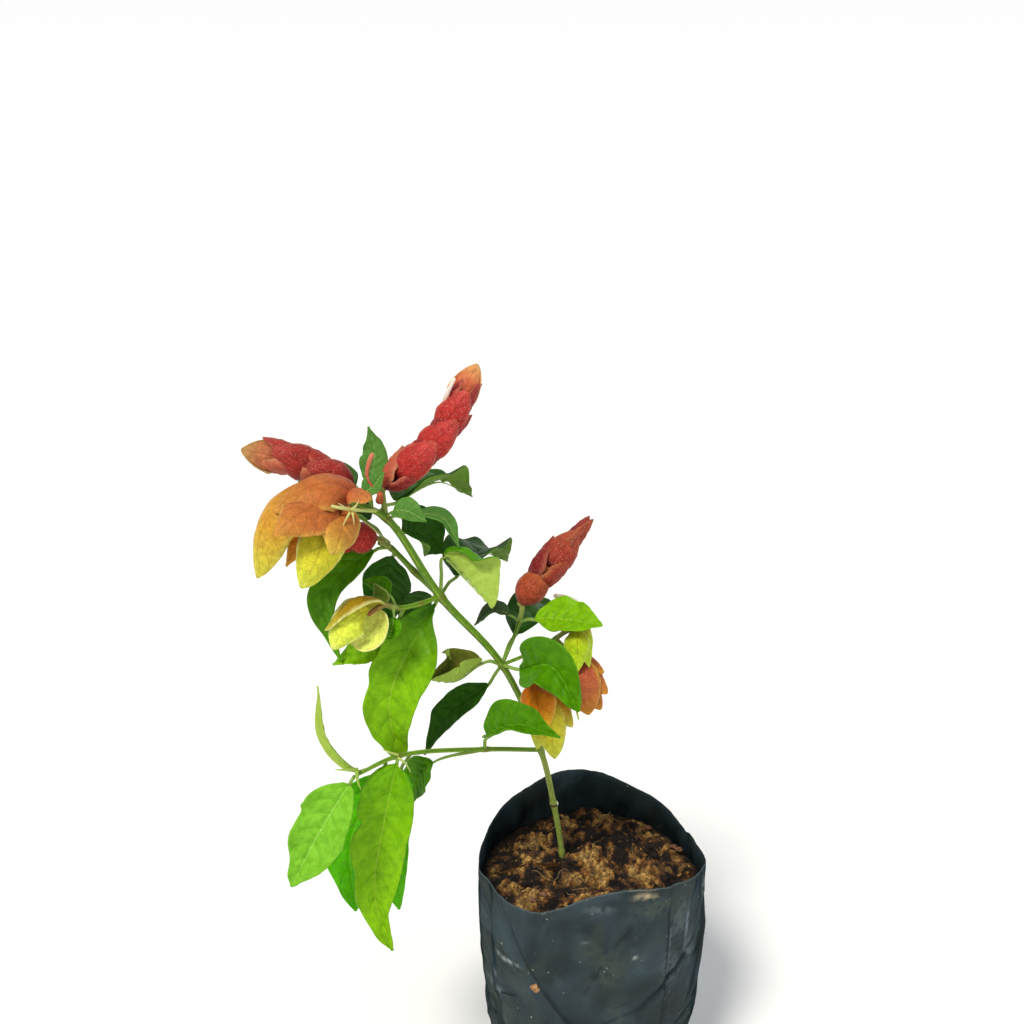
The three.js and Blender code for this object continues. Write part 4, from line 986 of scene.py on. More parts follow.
# Each spike: its stalk, its core, and its bracts by the rule above or one by one, as [foot, crest,
# tip, width, hollow side, form], with the palette of each bract in turn.
POINTED = {"curl": 45, "tipping": 1.1}
CUPPED = {"curl": 65, "tipping": 0.6, "ragged": 0.5}
SPREAD = {"curl": 50}
SPIKES = {
    "spike_red": {
        "stalk": [UPPER, (-80, -28, 284)],
        "core": [(-80, -27, 287), (-62, -21, 303), (-50, -14, 322)],
        "rule": {
            "pairs": 8, "length": 20, "width": 17.5, "turn": 9,
            "openings": (0.22, 0.38), "first": 0.78, "gaping": 0.14,
        },
        # The 'side' bracts are painted in shade.
        "palettes": [
            "side", "salmon", "red", "side", *["side", "side", "red", "side"] * 2,
            "side", "side", "tip_peach", "tip_peach",
        ],
        "slot": "red_bract",
    },
    "spike_behind": {
        "stalk": [(-86, -33, 282), (-89, -27, 286)],
        "core": [(-91, -24, 287), (-107, -21, 293.5), (-121, -20, 297)],
        "rule": {"pairs": 5, "length": 19, "width": 19, "turn": 66, "openings": (0.36, 0.26), "first": 0.9},
        # The 'side' bracts are painted in shade.
        "palettes": [*["crimson", "side", "salmon", "crimson"] * 2, "tan", "tan"],
        "slot": "red_bract",
    },
    "spike_dark": {
        "stalk": [TWIN, (-82, -16, 262)],
        "core": [(-84, -19, 265), (-89, -21, 266), (-94, -23, 265)],
        "rule": {"pairs": 2, "length": 14, "width": 16, "turn": 67, "openings": (0.3, 0.3)},
        # The 'side' bracts are painted in shade.
        "palettes": ["red", "side", "red", "side"],
        "slot": "red_bract",
    },
    "spike_bud": {
        "stalk": [FRONT_NODE, (-79, -35, 245)],
        "core": [(-80, -37, 246), (-83, -38, 245), (-86, -39, 243)],
        "bracts": [
            [(-81.5, -37, 246), (-89, -43, 258.5), (-100.5, -45, 240), 13, (0.4, -0.2, -0.9), {"curl": 55}],
            [
                (-82, -37, 245), (-82.5, -39, 234), (-92, -42, 233.5), 15, (-0.4, -0.9, 0.2),
                {"curl": 45, "tipping": 0.6},
            ],
            [(-85.5, -39, 245), (-91.5, -50, 248), (-98, -46, 233), 17, (0.1, 0.95, -0.2), CUPPED],
            [(-81, -36, 246), (-80, -34, 250), (-84, -34, 253), 7, (-0.2, -0.9, -0.3), POINTED],
        ],
        "palettes": ["ochre", "bud", "bud", "leafy"],
        "slot": "lime_bract",
    },
    "spike_right": {
        "stalk": [RIGHT_NODE, (-30, 4, 227)],
        "core": [(-31, 4, 228), (-21, 8, 240), (-11, 12, 251)],
        "rule": {
            "pairs": 4, "length": 22, "width": 20, "turn": 107, "openings": (0.25, 0.3), "first": 0.85,
        },
        "palettes": ["orange", "dark", "dark", "rosy", "rosy", "dark", "dark", "rosy"],
        "slot": "red_bract",
    },
    "spike_lime": {
        "stalk": [STALKS_NODE, (-10, -13, 226)],
        "core": [(-9, -13, 226), (-8, -14, 223), (-8, -15, 220)],
        "bracts": [
            [(-8, -13, 226), (-12, -14, 222), (-12, -14, 213), 10, (0.8, 0.5, 0), POINTED],
            [(-8, -13, 226), (-3, -15, 223), (-4, -14, 209), 11, (-0.7, 0.6, 0), POINTED],
            [
                (-9, -14, 226), (-9, -22, 224), (-9, -18, 209), 12, (0, 0.95, -0.1),
                {"curl": 60, "tipping": 0.9},
            ],
            [(-8, -12, 225), (-7, -7, 222), (-7, -9, 211), 10, (0, -0.9, 0), POINTED],
        ],
        "palettes": ["green_lime"] * 4,
        "slot": "lime_bract",
    },
    "spike_pink": {
        "stalk": [STALKS_NODE, (-13, -6, 213), (-11, -7, 210)],
        "core": [(-11, -8, 209), (-8, -10, 205), (-5, -12, 201)],
        "bracts": [
            [(-11, -8, 208), (-4, -9, 212), (2, -11, 205), 12, (-0.6, 0.5, -0.5), CUPPED],
            [(-11, -9, 207), (0, -13, 206), (3.5, -13, 197), 13, (-0.7, 0.6, 0.1), CUPPED],
            [(-11, -9, 206), (-1, -15, 203), (1, -15, 191), 14, (-0.6, 0.7, 0.1), CUPPED],
            [(-12, -10, 208), (-9, -23, 207), (-4, -19, 191), 22, (0.1, 0.95, -0.1), CUPPED],
            [(-11, -7, 207), (-11, -2, 203), (-7, -6, 193), 14, (0.1, -0.9, 0), SPREAD],
        ],
        "palettes": ["pink"] * 5,
        "slot": "salmon_bract",
    },
    "spike_amber": {
        "stalk": [(-27, -4, 210), (-25, -7, 203)],
        "core": [(-24, -8, 200), (-22, -10, 193), (-21, -12, 187)],
        "bracts": [
            [(-23, -8, 199), (-13, -11, 196), (-10, -13, 182), 14, (-0.7, 0.6, 0.1), CUPPED],
            [(-24, -9, 198), (-31, -13, 194), (-24, -15, 173), 15, (0.8, 0.5, 0), CUPPED],
            [(-23, -10, 195), (-19, -21, 190), (-17, -17, 170), 17, (0, 0.95, -0.1), CUPPED],
            [(-24, -10, 200), (-26, -22, 200), (-21, -20, 184), 18, (0.1, 0.95, -0.2), CUPPED],
            [(-23, -7, 198), (-21, -2, 191), (-19, -8, 175), 15, (0, -0.9, 0), SPREAD],
        ],
        "palettes": ["amber", "sunny", "sunny", "orange_top", "amber"],
        "slot": "amber_bract",
    },
    "spike_open": {
        "stalk": [CROWN, (-94, -36, 286)],
        "core": [(-97, -38, 287), (-100, -40, 283), (-103, -42, 279)],
        "bracts": [
            [(-97, -38, 287), (-103, -57, 291), (-113.5, -59, 281.5), 22, (0.1, 0.8, -0.6), POINTED],
            [(-97, -38, 286), (-122, -49, 296), (-122, -50, 262.5), 25, (0.6, 0.7, -0.4), CUPPED],
            [
                (-98, -39, 286), (-96, -58, 276), (-106.5, -53, 260), 21, (0, 0.95, 0.1),
                {**CUPPED, "ragged": 0.8},
            ],
            [(-99, -39, 285), (-108, -44, 275), (-112.5, -46, 265), 11, (0.2, 0.8, -0.3), POINTED],
            [(-92, -38, 287), (-90, -40, 293.5), (-82.5, -43, 288.5), 10, (0.1, 0.3, -1), SPREAD],
            [(-100, -40, 283), (-105, -31, 279), (-111, -29, 266), 15, (0, -0.8, -0.4), SPREAD],
            [(-100, -40, 283), (-98, -33, 276), (-103, -35, 258), 14, (0, -0.9, 0), SPREAD],
            [
                (-94, -41, 284), (-89, -53, 282), (-95, -56, 273.5), 17, (-0.3, 0.95, 0.1),
                {"curl": 50, "tipping": 0.8},
            ],
            [(-88, -37, 287), (-97, -42, 302), (-115, -48, 286), 21, (0.2, 0.5, -0.9), SPREAD],
        ],
        "palettes": ["front", "sunset", "sunny", "flame", "capped", "sunset", "sunny", "peach", "front"],
        "slot": "salmon_bract",
    },
}


def cone():
    """A plant hair one millimetre long, standing on the origin."""
    bm = bmesh.new()
    bmesh.ops.create_cone(bm, segments=3, radius1=0.018, radius2=0, depth=1, cap_ends=True)
    bmesh.ops.translate(bm, verts=bm.verts, vec=(0, 0, 0.5))
    return bm


def hair_coat(name, spots, length, colour, slot):
    """Soft hairs at the spots, each [where it stands, which way it points], about `length` mm long."""
    drawn = random.Random(len(spots))
    placements = []
    for point, way in spots:
        size = length * (0.6 + 0.8 * drawn.random())
        lean = Vector([drawn.uniform(-0.3, 0.3) for _ in range(3)])
        turn = (way + lean).to_track_quat("Z", "Y").to_matrix().to_4x4()
        matrix = Matrix.Translation(point) @ turn @ Matrix.Diagonal((1, 1, size, 1))
        placements.append((matrix, linear(colour)))
    return piece(name, scatter(cone(), placements), slot, [HAIR_SKIN])


def spike(name, stalk, core, slot, palettes, rule=None, bracts=()):
    """A flower spike: its stalk and core, and its bracts with the hairs on them."""
    green, reddish = linear("#9ab255"), linear("#b0684a")

    def girth(share, turn):
        return 1.05 - 0.25 * share

    def colour(share, turn):
        return blend(green, reddish, share)

    whole = tube(through(*stalk, *core), girth, 12, 40, colour)
    rows = bracts or paired_bracts(core, **rule)
    spots = []
    for k, ((*row, form), palette) in enumerate(zip(rows, palettes)):
        sheet, hairs = bract(*row, palette, k + len(name), **form)
        join(whole, sheet)
        spots += hairs
    hair_coat(f"{name}_hairs", spots, 0.32, "#f2d9c8", slot)
    return piece(f"{name}_bracts", whole, slot, [BRACT_SKIN], [name])


for spike_name, form in SPIKES.items():
    spike(spike_name, **form)


def stem_hairs():
    """The short down of the young upper stems."""
    drawn = random.Random(3)
    hairs_per_mm, lowest = 5, 150
    spots = []
    for points, radii in STEMS.values():
        line = through(*points)
        for _ in range(round(line.length * hairs_per_mm)):
            share = drawn.random()
            forward = line.heading(share)
            right, back = sideways(forward)
            turn = drawn.uniform(-math.pi, math.pi)
            way = right * math.cos(turn) + back * math.sin(turn)
            point = line.at(share) + way * min(radii)
            if point.z > lowest:
                spots.append((point, (way + forward * 0.4).normalized()))
    return hair_coat("stem_hairs", spots, 0.45, "#c4d494", "green_stem")


stem_hairs()

# The thin soft parts of the flowers: the points of each strand, its radius at each end, and its
# colour at each end.
CALYX_LOBES = [
    ([(-97, -47, 288), (-90.5, -45.5, 286), (-81, -36, 282)], (0.6, 0.8), ("#c8c680", "#a4b458")),
    ([(-89.5, -46, 285), (-91, -48, 282.5), (-92.4, -50, 279.5)], (0.5, 0.1), ("#c0c474", "#b8905c")),
    ([(-88.6, -46, 285), (-88.2, -47, 283), (-88, -48, 281)], (0.5, 0.1), ("#c0c474", "#c0a468")),
    ([(-89, -46, 286), (-87, -47, 288), (-86, -47, 290)], (0.5, 0.1), ("#c0c474", "#ccc080")),
    ([(-90, -46, 286), (-91.5, -48, 288), (-93, -49, 289.5)], (0.5, 0.1), ("#c0c474", "#d0c890")),
    ([(-77, -39, 185), (-80, -41, 187.5), (-83, -42, 189.5)], (0.6, 0.1), ("#a8b85c", "#c0cc7c")),
    ([(-77, -39, 184), (-74, -41, 182.5), (-72, -42, 179)], (0.6, 0.1), ("#a8b85c", "#b0c070")),
    ([(-91, -50, 185.5), (-94, -52, 186.8), (-98.9, -54, 188.2)], (0.9, 0.1), ("#86a83c", "#a8bc60")),
    ([(-91, -51, 186), (-90.6, -53, 183), (-89.4, -54, 179.6)], (0.9, 0.1), ("#86a83c", "#a0b454")),
    ([(-80, -13, 261), (-84.7, -26, 271.7), (-87.4, -27, 275)], (0.5, 0.15), ("#8ca048", "#b8b070")),
    ([(-12, -6, 199), (-9, -10, 191), (-7.3, -12, 184)], (0.8, 0.3), ("#98a830", "#c0cc58")),
]
FADED_FLOWERS = [
    ([(-58, -17, 314), (-57, -19, 319.5), (-54, -20, 326)], (1.2, 0.5), ("#cfae9c", "#efe6dc")),
    ([(-17, 4, 231.5), (-13, 1, 232.5), (-7.8, 0, 231)], (0.9, 0.5), ("#a8a08c", "#d8d4c8")),
    ([(-80.6, -34, 285), (-80.2, -36, 287), (-80, -37, 289)], (1.5, 1.0), ("#8c3c20", "#b0582e")),
    (
        [(-81.5, -33, 287.5), (-84.8, -32, 292.8), (-84.5, -31, 297), (-82.7, -30, 301.5)],
        (0.5, 0.9), ("#a85038", "#c8785a"),
    ),
]


def strand(points, radii, colours):
    """One thin strand, whose radius and colour run from one end to the other."""
    foot_tint, tip_tint = map(linear, colours)

    def girth(share, turn):
        return radii[0] + (radii[1] - radii[0]) * share

    def colour(share, turn):
        return blend(foot_tint, tip_tint, share)

    return tube(through(*points), girth, 8, 16, colour)


def strands(name, rows, slot):
    """Thin strands in one piece."""
    made = join(bmesh.new(), *(strand(*row) for row in rows))
    return piece(name, made, slot, [COROLLA_SKIN])


strands("calyx_lobes", CALYX_LOBES, "lime_bract")
strands("faded_flowers", FADED_FLOWERS, "salmon_bract")


# ---------------------------------------------------------------- grow bag and soil
BAG_RADIUS, BASE_RADIUS, LIP_HEIGHT, SOIL_HEIGHT = 48, 40, 119, 102
# One degree round the bag, in millimetres.
DEGREE = 0.84
# Sharp folds in the film: from [angle, height] to [angle, height], and how far the film steps out
# above the line, in millimetres.
FOLDS = [
    [(-168, 108), (-141, 89), 1.2],
    [(-139, 108), (-117, 81), 1.5],
    [(-117, 81), (-98, 58), -1.0],
    [(-162, 74), (-145, 60), 1.2],
    [(-150, 60), (-131, 69), -1.0],
    [(-146, 88), (-128, 84), 0.7],
    [(-53, 119), (-52, 50), -1.2],
    [(-32, 88), (-62, 70), 1.3],
    [(-60, 70), (-88, 62), 0.6],
    [(-81, 101), (-73, 110), 0.6],
    [(-95, 78), (-86, 93), 0.6],
    [(-16, 94), (-30, 60), 1.2],
    [(20, 112), (34, 60), -1.2],
    [(34, 84), (58, 66), 1.0],
    [(72, 98), (52, 40), 1.0],
    [(92, 100), (110, 74), -0.9],
    [(110, 112), (128, 50), 1.3],
    [(150, 102), (171, 66), 1.2],
    [(-120, 52), (-95, 20), 1.4],
    [(-98, 58), (-84, 30), -1.0],
    [(-72, 52), (-58, 12), 1.4],
    [(-40, 48), (-24, 20), -1.2],
    [(0, 58), (14, 18), 1.4],
    [(42, 44), (30, 14), -1.1],
    [(95, 46), (80, 10), 1.3],
    [(135, 44), (122, 14), -1.2],
    [(172, 52), (158, 12), 1.4],
    [(-152, 44), (-140, 12), -1.2],
]
# Dried soil and scuffs on the film, and the tall grey streaks on its right side, from -20 to -51
# degrees, which are painted reflection: [angle, height, width and height of the smear, colour].
SMEARS_AND_PAINTED_SHEEN = [
    [-69, 125, 3.0, 1.4, "#b9ab86"],
    [-63, 124, 1.5, 1.0, "#8f8a70"],
    [-136, 84, 3.0, 0.7, "#8e9ba0"],
    [-39, 97, 1.2, 12.0, "#66727a"],
    [-60, 118, 9.0, 4.0, "#3f4a42"],
    [-96, 104, 2.0, 0.8, "#55605f"],
    [-172, 64, 1.0, 0.8, "#aeb6b8"],
    [-50, 84, 5.0, 8.0, "#4c5659"],
    [-92, 86, 6.0, 5.0, "#30383a"],
    [-80, 70, 4.0, 7.0, "#39423f"],
    [-85, 90, 7.0, 8.0, "#394239"],
    [-93, 99, 5.0, 5.0, "#374038"],
    [-142, 83, 4.0, 0.8, "#84918f"],
    [-132, 85, 2.0, 0.6, "#8d9a98"],
    [-162, 58, 2.5, 2.0, "#5a676a"],
    [-142, 65, 3.0, 2.0, "#566265"],
    [-149, 71, 2.0, 1.5, "#5c686a"],
    [-72, 96, 1.2, 0.9, "#9aa09a"],
    [-90, 120, 5.0, 1.5, "#525f60"],
    [-51, 96, 0.5, 14.0, "#5d686a"],
    [-45, 106, 4.0, 9.0, "#4a5557"],
    [-36, 88, 3.0, 7.0, "#4f5a5c"],
    [-165, 91, 4.0, 4.0, "#3a4749"],
    [-150, 91, 5.0, 3.0, "#3d4a4c"],
    [-20, 108, 2.0, 6.0, "#707a7a"],
    [-172, 112, 2.0, 4.0, "#7c8686"],
]


def round_bag(angle, radius, height):
    """The point so far out from the bag's middle line, at a height."""
    return Vector((radius * math.cos(angle), radius * math.sin(angle), height))


def bag_radius(angle, height):
    """How far out the filled bag's wall stands: wider up to 80 mm, dented, and pinched twice."""
    climb = math.sin(min(height / 80, 1) * math.pi / 2) ** 0.7
    depth = min(height / 30, 1)
    dents = math.sin(3 * angle + 1 + height / 45) + 0.5 * math.sin(7 * angle - height / 30)
    crease = 2.2 * bell(angle + 2.75, 0.14) + 1.4 * bell(angle - 1.1, 0.16)
    return BASE_RADIUS + (BAG_RADIUS - BASE_RADIUS) * climb + depth * (dents - crease)


def lip_height(angle):
    """The height of the bag's uneven edge, which dips in front on the left."""
    wave = 7 * math.cos(2 * (angle - math.radians(100))) + 3 * math.cos(angle + math.radians(75))
    dip = 5 * bell(angle + math.radians(125), math.radians(20)) + 3.5 * bell(angle + math.radians(114), 0.4)
    return LIP_HEIGHT + wave - dip


def folded_film(angle, height):
    """How far the film stands out at its folds and crinkles, and its painted shade in a crease."""
    rise = crease = 0.0
    flat = Vector((math.degrees(angle) * DEGREE, height))
    for start, end, step in FOLDS:
        one, other = Vector((start[0] * DEGREE, start[1])), Vector((end[0] * DEGREE, end[1]))
        run = other - one
        share = (flat - one).dot(run) / run.length_squared
        if -0.25 < share < 1.25:
            across = run.cross(flat - one) / run.length * (1 if run.y < 0 else -1)
            ends = ease(-0.25, 0.2, share) * ease(1.25, 0.8, share)
            # A steep little step, from which the film falls back slowly on its far side.
            slope = ease(-0.9, 0.5, across) * math.exp(-max(across, 0) / 6) - 0.35 * bell(across + 1.2, 0.9)
            rise += step * ends * slope
            crease = max(crease, ends * bell(across + 1.0, 0.8) * min(abs(step), 1.0))
    wall = round_bag(angle, BAG_RADIUS, height)
    low = ease(70, 10, height)
    # Flat facets meet in blunt ridges, as stiff film does.
    facets = abs(rough(wall + Vector((0, 0, 200)), 30, 3)) + 0.5 * abs(rough(wall, 13, 2))
    rise += 0.8 * low * math.sin(13 * angle + height / 9) - (0.9 + 1.4 * low) * (facets - 0.3)
    return max(rise, -1.8), crease


def film_radius(angle, height):
    """How far out the film stands, with its folds, which end at the base."""
    return bag_radius(angle, height) + folded_film(angle, height)[0] * ease(2, 14, height)


def grow_bag():
    """The film bag in one skin: over its flat round base, up its wall that leans out, over the cut
    edge and down the inside to the middle again."""
    smears = [(math.radians(a), h, w / BAG_RADIUS, t, linear(c)) for a, h, w, t, c in SMEARS_AND_PAINTED_SHEEN]
    film = 0.45
    # The rows of the mesh: over the base, up the wall, over the cut edge, and the steps down the
    # inside, as shares of the height.
    base, wall, lip = 3, 178, 2
    inside = [0.0, -0.02, -0.05, -0.09, -0.14, -0.2, -0.3, -0.45, -0.7, -0.99]
    rows = base + wall + lip + len(inside)

    def place(side, share):
        angle = math.pi * side
        row = round(share * rows)
        if row <= base:
            radius = 0.96 * bag_radius(angle, 0) * row / base
            return round_bag(angle, radius, 0), [0, 0, 0, 0]
        if row == rows:
            return Vector((0, 0, film)), [0, 0, 0, 0]
        over = max(row - base - wall, 0)
        climb = 1 + inside[over - lip] if over > lip else min((row - base) / wall, 1.0)
        level = climb**1.15 * LIP_HEIGHT
        height = level + (lip_height(angle) - LIP_HEIGHT) * (level / LIP_HEIGHT) ** 4
        foot = 0.04 * (1 - ease(0, 4, height))
        radius = film_radius(angle, height) * (1 - foot)
        radius -= film * min(over / lip, 1)
        if over > lip:
            # Below the top of the soil the inner skin keeps clear of its rough body.
            radius = min(radius, bag_radius(angle, height) * (1 - foot) - 2.3 * ease(98, 92, height))
        height = max(height + (0.15 if 0 < over < lip else 0), film if over else 0)
        # The cut edge wanders by half a millimetre.
        around = angle * BAG_RADIUS
        height += 0.5 * rough((around, 3, 3), 6) * ease(LIP_HEIGHT - 6, LIP_HEIGHT, level)
        # Painted shade: the film is darkened along the valleys of its folds.
        tint = linear("#0c1112")[:3] + [0.75 * folded_film(angle, height)[1]]
        # Dust, scuffs and the painted reflection streaks on the right side are laid over it.
        for at, middle, wide, tall, colour in smears if not over else []:
            aside = (angle - at + math.pi) % (2 * math.pi) - math.pi
            cover = bell(aside, wide) * bell(height - middle, tall)
            cover *= 0.75 + 1.1 * rough((around, height, 3), 2.0)
            if cover > tint[3]:
                tint = colour[:3] + [min(cover, 0.9)]
        if not over:
            # The cut edge is a thin pale line: a painted highlight where the film turns over.
            tint = tint if climb < 0.996 else linear("#5d6a6c")[:3] + [0.6]
        if over > lip:
            # Painted shade: the inside of the film is darkened towards near black in uneven patches, from a
            # little below the cut edge down.
            toned_with_painted_light = 0.75 + 0.5 * rough((around, height, 60), 7)
            tint = linear("#0b1112")[:3] + [toned_with_painted_light * ease(1.0, 0.9, climb)]
        return round_bag(angle, radius, height), tint

    bm = grid(450, rows, place)
    bmesh.ops.remove_doubles(bm, verts=bm.verts, dist=1e-3)
    bmesh.ops.recalc_face_normals(bm, faces=bm.faces)
    return piece("film_bag", bm, "film", [FILM], ["grow_bag"])


grow_bag()


def repeatable(seed):
    """An endless row of numbers from 0 to 1, the same for the same seed."""
    state = seed
    while True:
        state = state * 16807 % 2147483647
        yield state / 2147483647


def soil_clods():
    """The clods of the soil's solid, as [middle, radius, height]."""
    draw = repeatable(41)
    clods = []
    for _ in range(60):
        angle = next(draw) * 2 * math.pi
        reach = math.sqrt(next(draw)) * (BAG_RADIUS - 4)
        radius = 5 + 4.5 * next(draw)
        height = 4.5 * (0.5 + next(draw))
        clods.append((Vector((reach * math.cos(angle), reach * math.sin(angle))), radius, height))
    return clods


CLODS = soil_clods()


def crumb_field(x, y, size):
    """Rounded crumbs of about `size` mm packed side by side: how high one stands here, from 0 in
    the joint between two to 1 on top, and a number that is its own."""
    (near, second, *_), (middle, *_) = noise.voronoi(Vector((x / size, y / size, 0)))
    return min((second - near) * 1.6, 1.0), noise.noise(middle * 7.3)


# Where the soil is dry and golden, and where it is cracked and damp: x, y and how far it reaches.
DRY = [
    (-24, 16, 5), (-34, 20, 4), (-27, 4, 4), (-36, 0, 2), (-31, -15, 3), (-24, -20, 4), (-19, -10, 3),
    (-1, 4, 5), (-5, -8, 5), (5, -7, 5), (19, -2, 4), (23, -7, 4), (19, 9, 2), (17, 45, 3),
    (26, 34, 4), (30, 28, 3), (37, 16, 3), (40, 9, 2), (-8, 34, 3), (9, 38, 4), (-8, -10, 4),
    (-30, -30, 6), (10, -30, 8), (-4, -38, 7), (30, -24, 6),
]
DAMP = [
    (-25, -7, 4), (-28, -9, 3), (-34, -5, 3), (-11, 0, 4), (-11, -14, 3), (-11, -27, 2), (11, 20, 6),
    (5, 18, 4), (14, 7, 4), (12, -5, 3), (2, 20, 4), (-2, 36, 2), (29, 7, 4), (32, 18, 3), (20, 17, 2),
    (35, -7, 3), (-40, 7, 2), (-37, -20, 3), (-13, 22, 2), (-3, 26, 2), (-19, 4, 1), (11, -12, 3),
    (19, 4, 1), (-17, -25, 2),
]


def dryness(x, y):
    """How dry and golden the soil is at a place, from 0 to 1."""
    dry = max(bell(math.dist((x, y), spot[:2]), spot[2]) for spot in DRY)
    damp = max(bell(math.dist((x, y), spot[:2]), spot[2]) for spot in DAMP)
    return min(max(0.3 + 0.55 * dry - 0.8 * damp + 0.6 * rough((x, y, 20), 4, 5), 0.0), 1.0)


def soil_relief(x, y):
    """The soil's rise at a place, the painted shade of its cracks and hollows, and its crumb's number."""
    here = Vector((x, y)) + Vector((rough((x, y, 5), 5), rough((x, y, 9), 5))) * 1.6
    heights = []
    for middle, radius, height in CLODS:
        near = 1 - (here - middle).length_squared / radius**2
        heights.append(height * math.sqrt(max(near, 0.0)))
    top = max(*heights, 1.2 + 2.4 * rough((x, y, 40), 14, 2))
    large, own = crumb_field(*here, 3.6)
    small, _ = crumb_field(*here, 1.7)
    crumbs = (1.5 + own) * large + 0.8 * small - 1.2 + 1.2 * rough((x, y, 0), 8, 3)
    joint = 1 - min(large * 1.6, 0.5 + small * 1.4, 1.0)
    return top + crumbs, max(ease(2.6, 0.2, top + 1.2 * crumbs), 0.75 * joint), own


def soil_top(rise, reach):
    """The height of the soil where it rises by `rise`; it sinks and levels out towards the film."""
    return SOIL_HEIGHT + rise * (1 - 0.7 * reach**8) - 2 * reach**6


# Painted shade: the near black of the soil's cracks, of its low places and of its sides under the film.
CRACK_SHADE_TINT = linear("#0b0705")
SOIL_TINTS = {0.08: "#20140b", 0.4: "#966430", 0.65: "#c89a50", 1: "#e0b46a"}
SOIL_STOPS = [[dry, linear(colour)] for dry, colour in SOIL_TINTS.items()]


def soil_tint(x, y, crack_shade, own):
    """The soil's colour by its dryness and its crumb's own number, with painted shade in its cracks."""
    warm = min(max(dryness(x, y) + 0.3 * own, 0.0), 1.0)
    return blend(gradient(SOIL_STOPS, warm), CRACK_SHADE_TINT, 0.95 * crack_shade)


def soil():
    """The soil that fills the bag: a rough crumbly top over a plain body."""
    inset, side_share = 0.8, 0.12

    def place(side, share):
        angle = math.pi * side
        if share < side_share:
            height = 3 + (SOIL_HEIGHT - 5) * share / side_share
            radius = film_radius(angle, height) - inset if height > 96 else bag_radius(angle, height) - 3.5
            return round_bag(angle, radius, height), CRACK_SHADE_TINT
        reach = 1 - (share - side_share) / (1 - side_share)
        radius = reach * (film_radius(angle, SOIL_HEIGHT) - inset)
        x, y = radius * math.cos(angle), radius * math.sin(angle)
        rise, crack_shade, own = soil_relief(x, y)
        # Painted shade darkens the soil towards the film.
        crack_shade = max(crack_shade, 0.9 * ease(0.8, 0.97, reach))
        return Vector((x, y, soil_top(rise, reach))), soil_tint(x, y, crack_shade, own)

    bm = grid(400, 150, place)
    bmesh.ops.remove_doubles(bm, verts=bm.verts, dist=1e-3)
    bmesh.ops.holes_fill(bm, edges=[edge for edge in bm.edges if edge.is_boundary])
    bmesh.ops.recalc_face_normals(bm, faces=bm.faces)
    return piece("soil_body", bm, "soil", [SOIL], ["soil"])


BARK_CHIPS = [(39.8, 11.8), (-20.8, -22.6), (28.5, 31.7), (-25, -25), (38.2, 16.4)]


def soil_crumbs():
    """Loose crumbs on the soil, a few chips of bark, and one crumb stuck to the bag."""
    drawn = random.Random(7)
    crumbs = 480
    chip_size, stuck_size = (1.9, 1.2, 0.7, 1), (2.2, 1.2, 2.0, 1)
    crumb = bmesh.new()
    crumb.verts.layers.float_color.new("tint")
    bmesh.ops.create_icosphere(crumb, subdivisions=2, radius=1)
    for vert in crumb.verts:
        vert.co *= 1 + 0.7 * rough(vert.co, 0.8, 3)
    placements = []
    for _ in range(crumbs):
        angle = drawn.uniform(-math.pi, math.pi)
        reach = math.sqrt(drawn.random()) * 0.95
        radius = reach * (bag_radius(angle, SOIL_HEIGHT) - 2.4)
        x, y = radius * math.cos(angle), radius * math.sin(angle)
        rise, crack_shade, own = soil_relief(x, y)
        size = 0.4 + 1.2 * drawn.random() ** 3
        if crack_shade > 0.6 and drawn.random() < 0.7:
            continue
        height = soil_top(rise, reach) + 0.3 * size
        turn = Matrix.Rotation(drawn.uniform(0, 6.28), 4, Vector([drawn.random() for _ in range(3)]))
        stretch = Matrix.Diagonal((size, size * drawn.uniform(0.6, 1.0), size * drawn.uniform(0.6, 1.0), 1))
        tint = soil_tint(x, y, 0.4 * crack_shade, drawn.uniform(-1, 1))
        placements.append((Matrix.Translation((x, y, height)) @ turn @ stretch, tint))
    for x, y in BARK_CHIPS:
        lying = Matrix.Translation((x, y, SOIL_HEIGHT + soil_relief(x, y)[0] + 0.4))
        placements.append((lying @ Matrix.Diagonal(chip_size), linear("#8c6048")))
    stuck = Matrix.Translation((-24.2, -42.4, 78.5)) @ Matrix.Diagonal(stuck_size)
    placements.append((stuck, linear("#b98a5c")))
    return piece("soil_crumbs", scatter(crumb, placements), "soil", [SOIL])


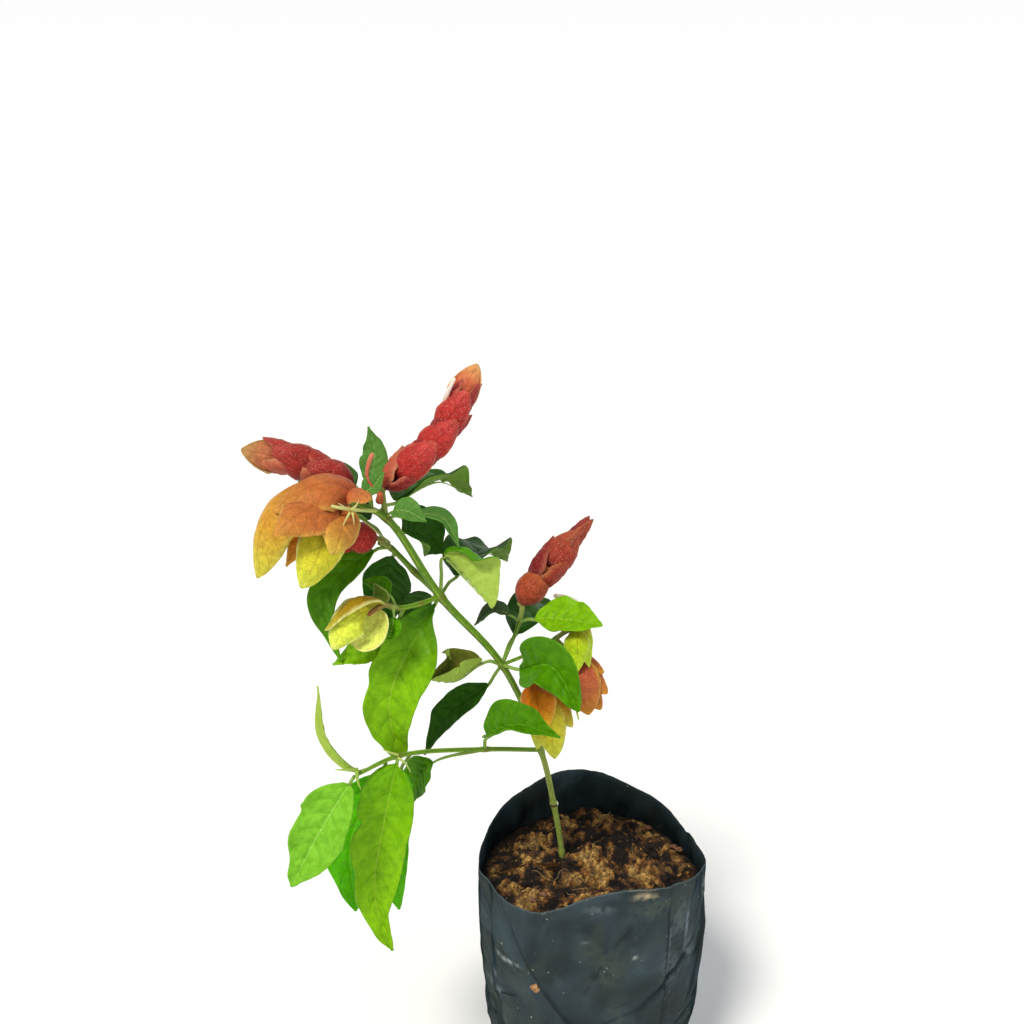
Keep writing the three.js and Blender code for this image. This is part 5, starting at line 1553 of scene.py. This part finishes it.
def rootlets():
    """Pale fibres of root that lie on the soil."""
    drawn = random.Random(11)
    fibres, furthest, step = 14, 38, 2.2
    rows = []
    for _ in range(fibres):
        angle, reach = drawn.uniform(-math.pi, math.pi), furthest * math.sqrt(drawn.random())
        x, y = reach * math.cos(angle), reach * math.sin(angle)
        way = drawn.uniform(-math.pi, math.pi)
        points = []
        for _ in range(5):
            points.append((x, y, SOIL_HEIGHT + soil_relief(x, y)[0] + drawn.uniform(0.1, 0.9)))
            way += drawn.uniform(-0.7, 0.7)
            x, y = x + step * math.cos(way), y + step * math.sin(way)
        rows.append((points, (0.14, 0.07), ("#8c6c40", "#b89c6c")))
    return strands("rootlets", rows, "soil")


soil()
soil_crumbs()
rootlets()


# ---------------------------------------------------------------- camera, light and floor
SENSOR = 36
camera = bpy.data.objects.new("camera", bpy.data.cameras.new("camera"))
camera.data.sensor_width = SENSOR
camera.data.lens = 1169 / 1024 * SENSOR
camera.location = (-0.034, -0.422, 0.422)
camera.rotation_euler = (math.radians(70), 0, 0)
scene.collection.objects.link(camera)
scene.camera = camera


def sun(name, way, strength, spread, colour="#ffffff"):
    """A broad even light that falls the given way."""
    made = bpy.data.objects.new(name, bpy.data.lights.new(name, "SUN"))
    made.data.energy, made.data.angle, made.data.color = strength, math.radians(spread), linear(colour)[:3]
    made.rotation_euler = Vector(way).to_track_quat("-Z", "Y").to_euler()
    scene.collection.objects.link(made)


sun("key_light", (0.4, 0.6, -1), 2.9, 16, "#fffaf2")
sun("fill_light", (-0.8, 0.6, -0.6), 0.5, 60, "#f2f7ff")
sun("back_light", (-0.2, -0.8, -0.6), 0.5, 50)

# A room that is palest at the height of the floor's far edge, so that the edge can't be seen.
world = bpy.data.worlds.new("studio")
world.use_nodes = True
room = world.node_tree
way = node(room, "SeparateXYZ", [node(room, "TexCoord")])
stops = [(0.0, "#ffffff"), (0.08, "#fdfdfd"), (0.35, "#a2a5a8"), (1.0, "#909498")]
pale = node(room, "ValToRGB", [way.outputs[2]], stops)
room.links.new(pale.outputs[0], room.nodes["Background"].inputs[0])
room.nodes["Background"].inputs[1].default_value = 1.0
scene.world = world
scene.view_settings.view_transform = "Standard"

floor = bmesh.new()
bmesh.ops.create_circle(floor, cap_ends=True, segments=64, radius=60)
floor_mesh = bpy.data.meshes.new("floor")
floor.to_mesh(floor_mesh)
floor.free()
floor_tree, floor_shader, floor_paint = finish("plain pale floor")
dress(floor_tree, floor_shader, Base_Color=linear("#f4f4f2"), Roughness=0.8)
floor_mesh.materials.append(floor_paint)
floor_object = bpy.data.objects.new("floor", floor_mesh)
scene.collection.objects.link(floor_object)
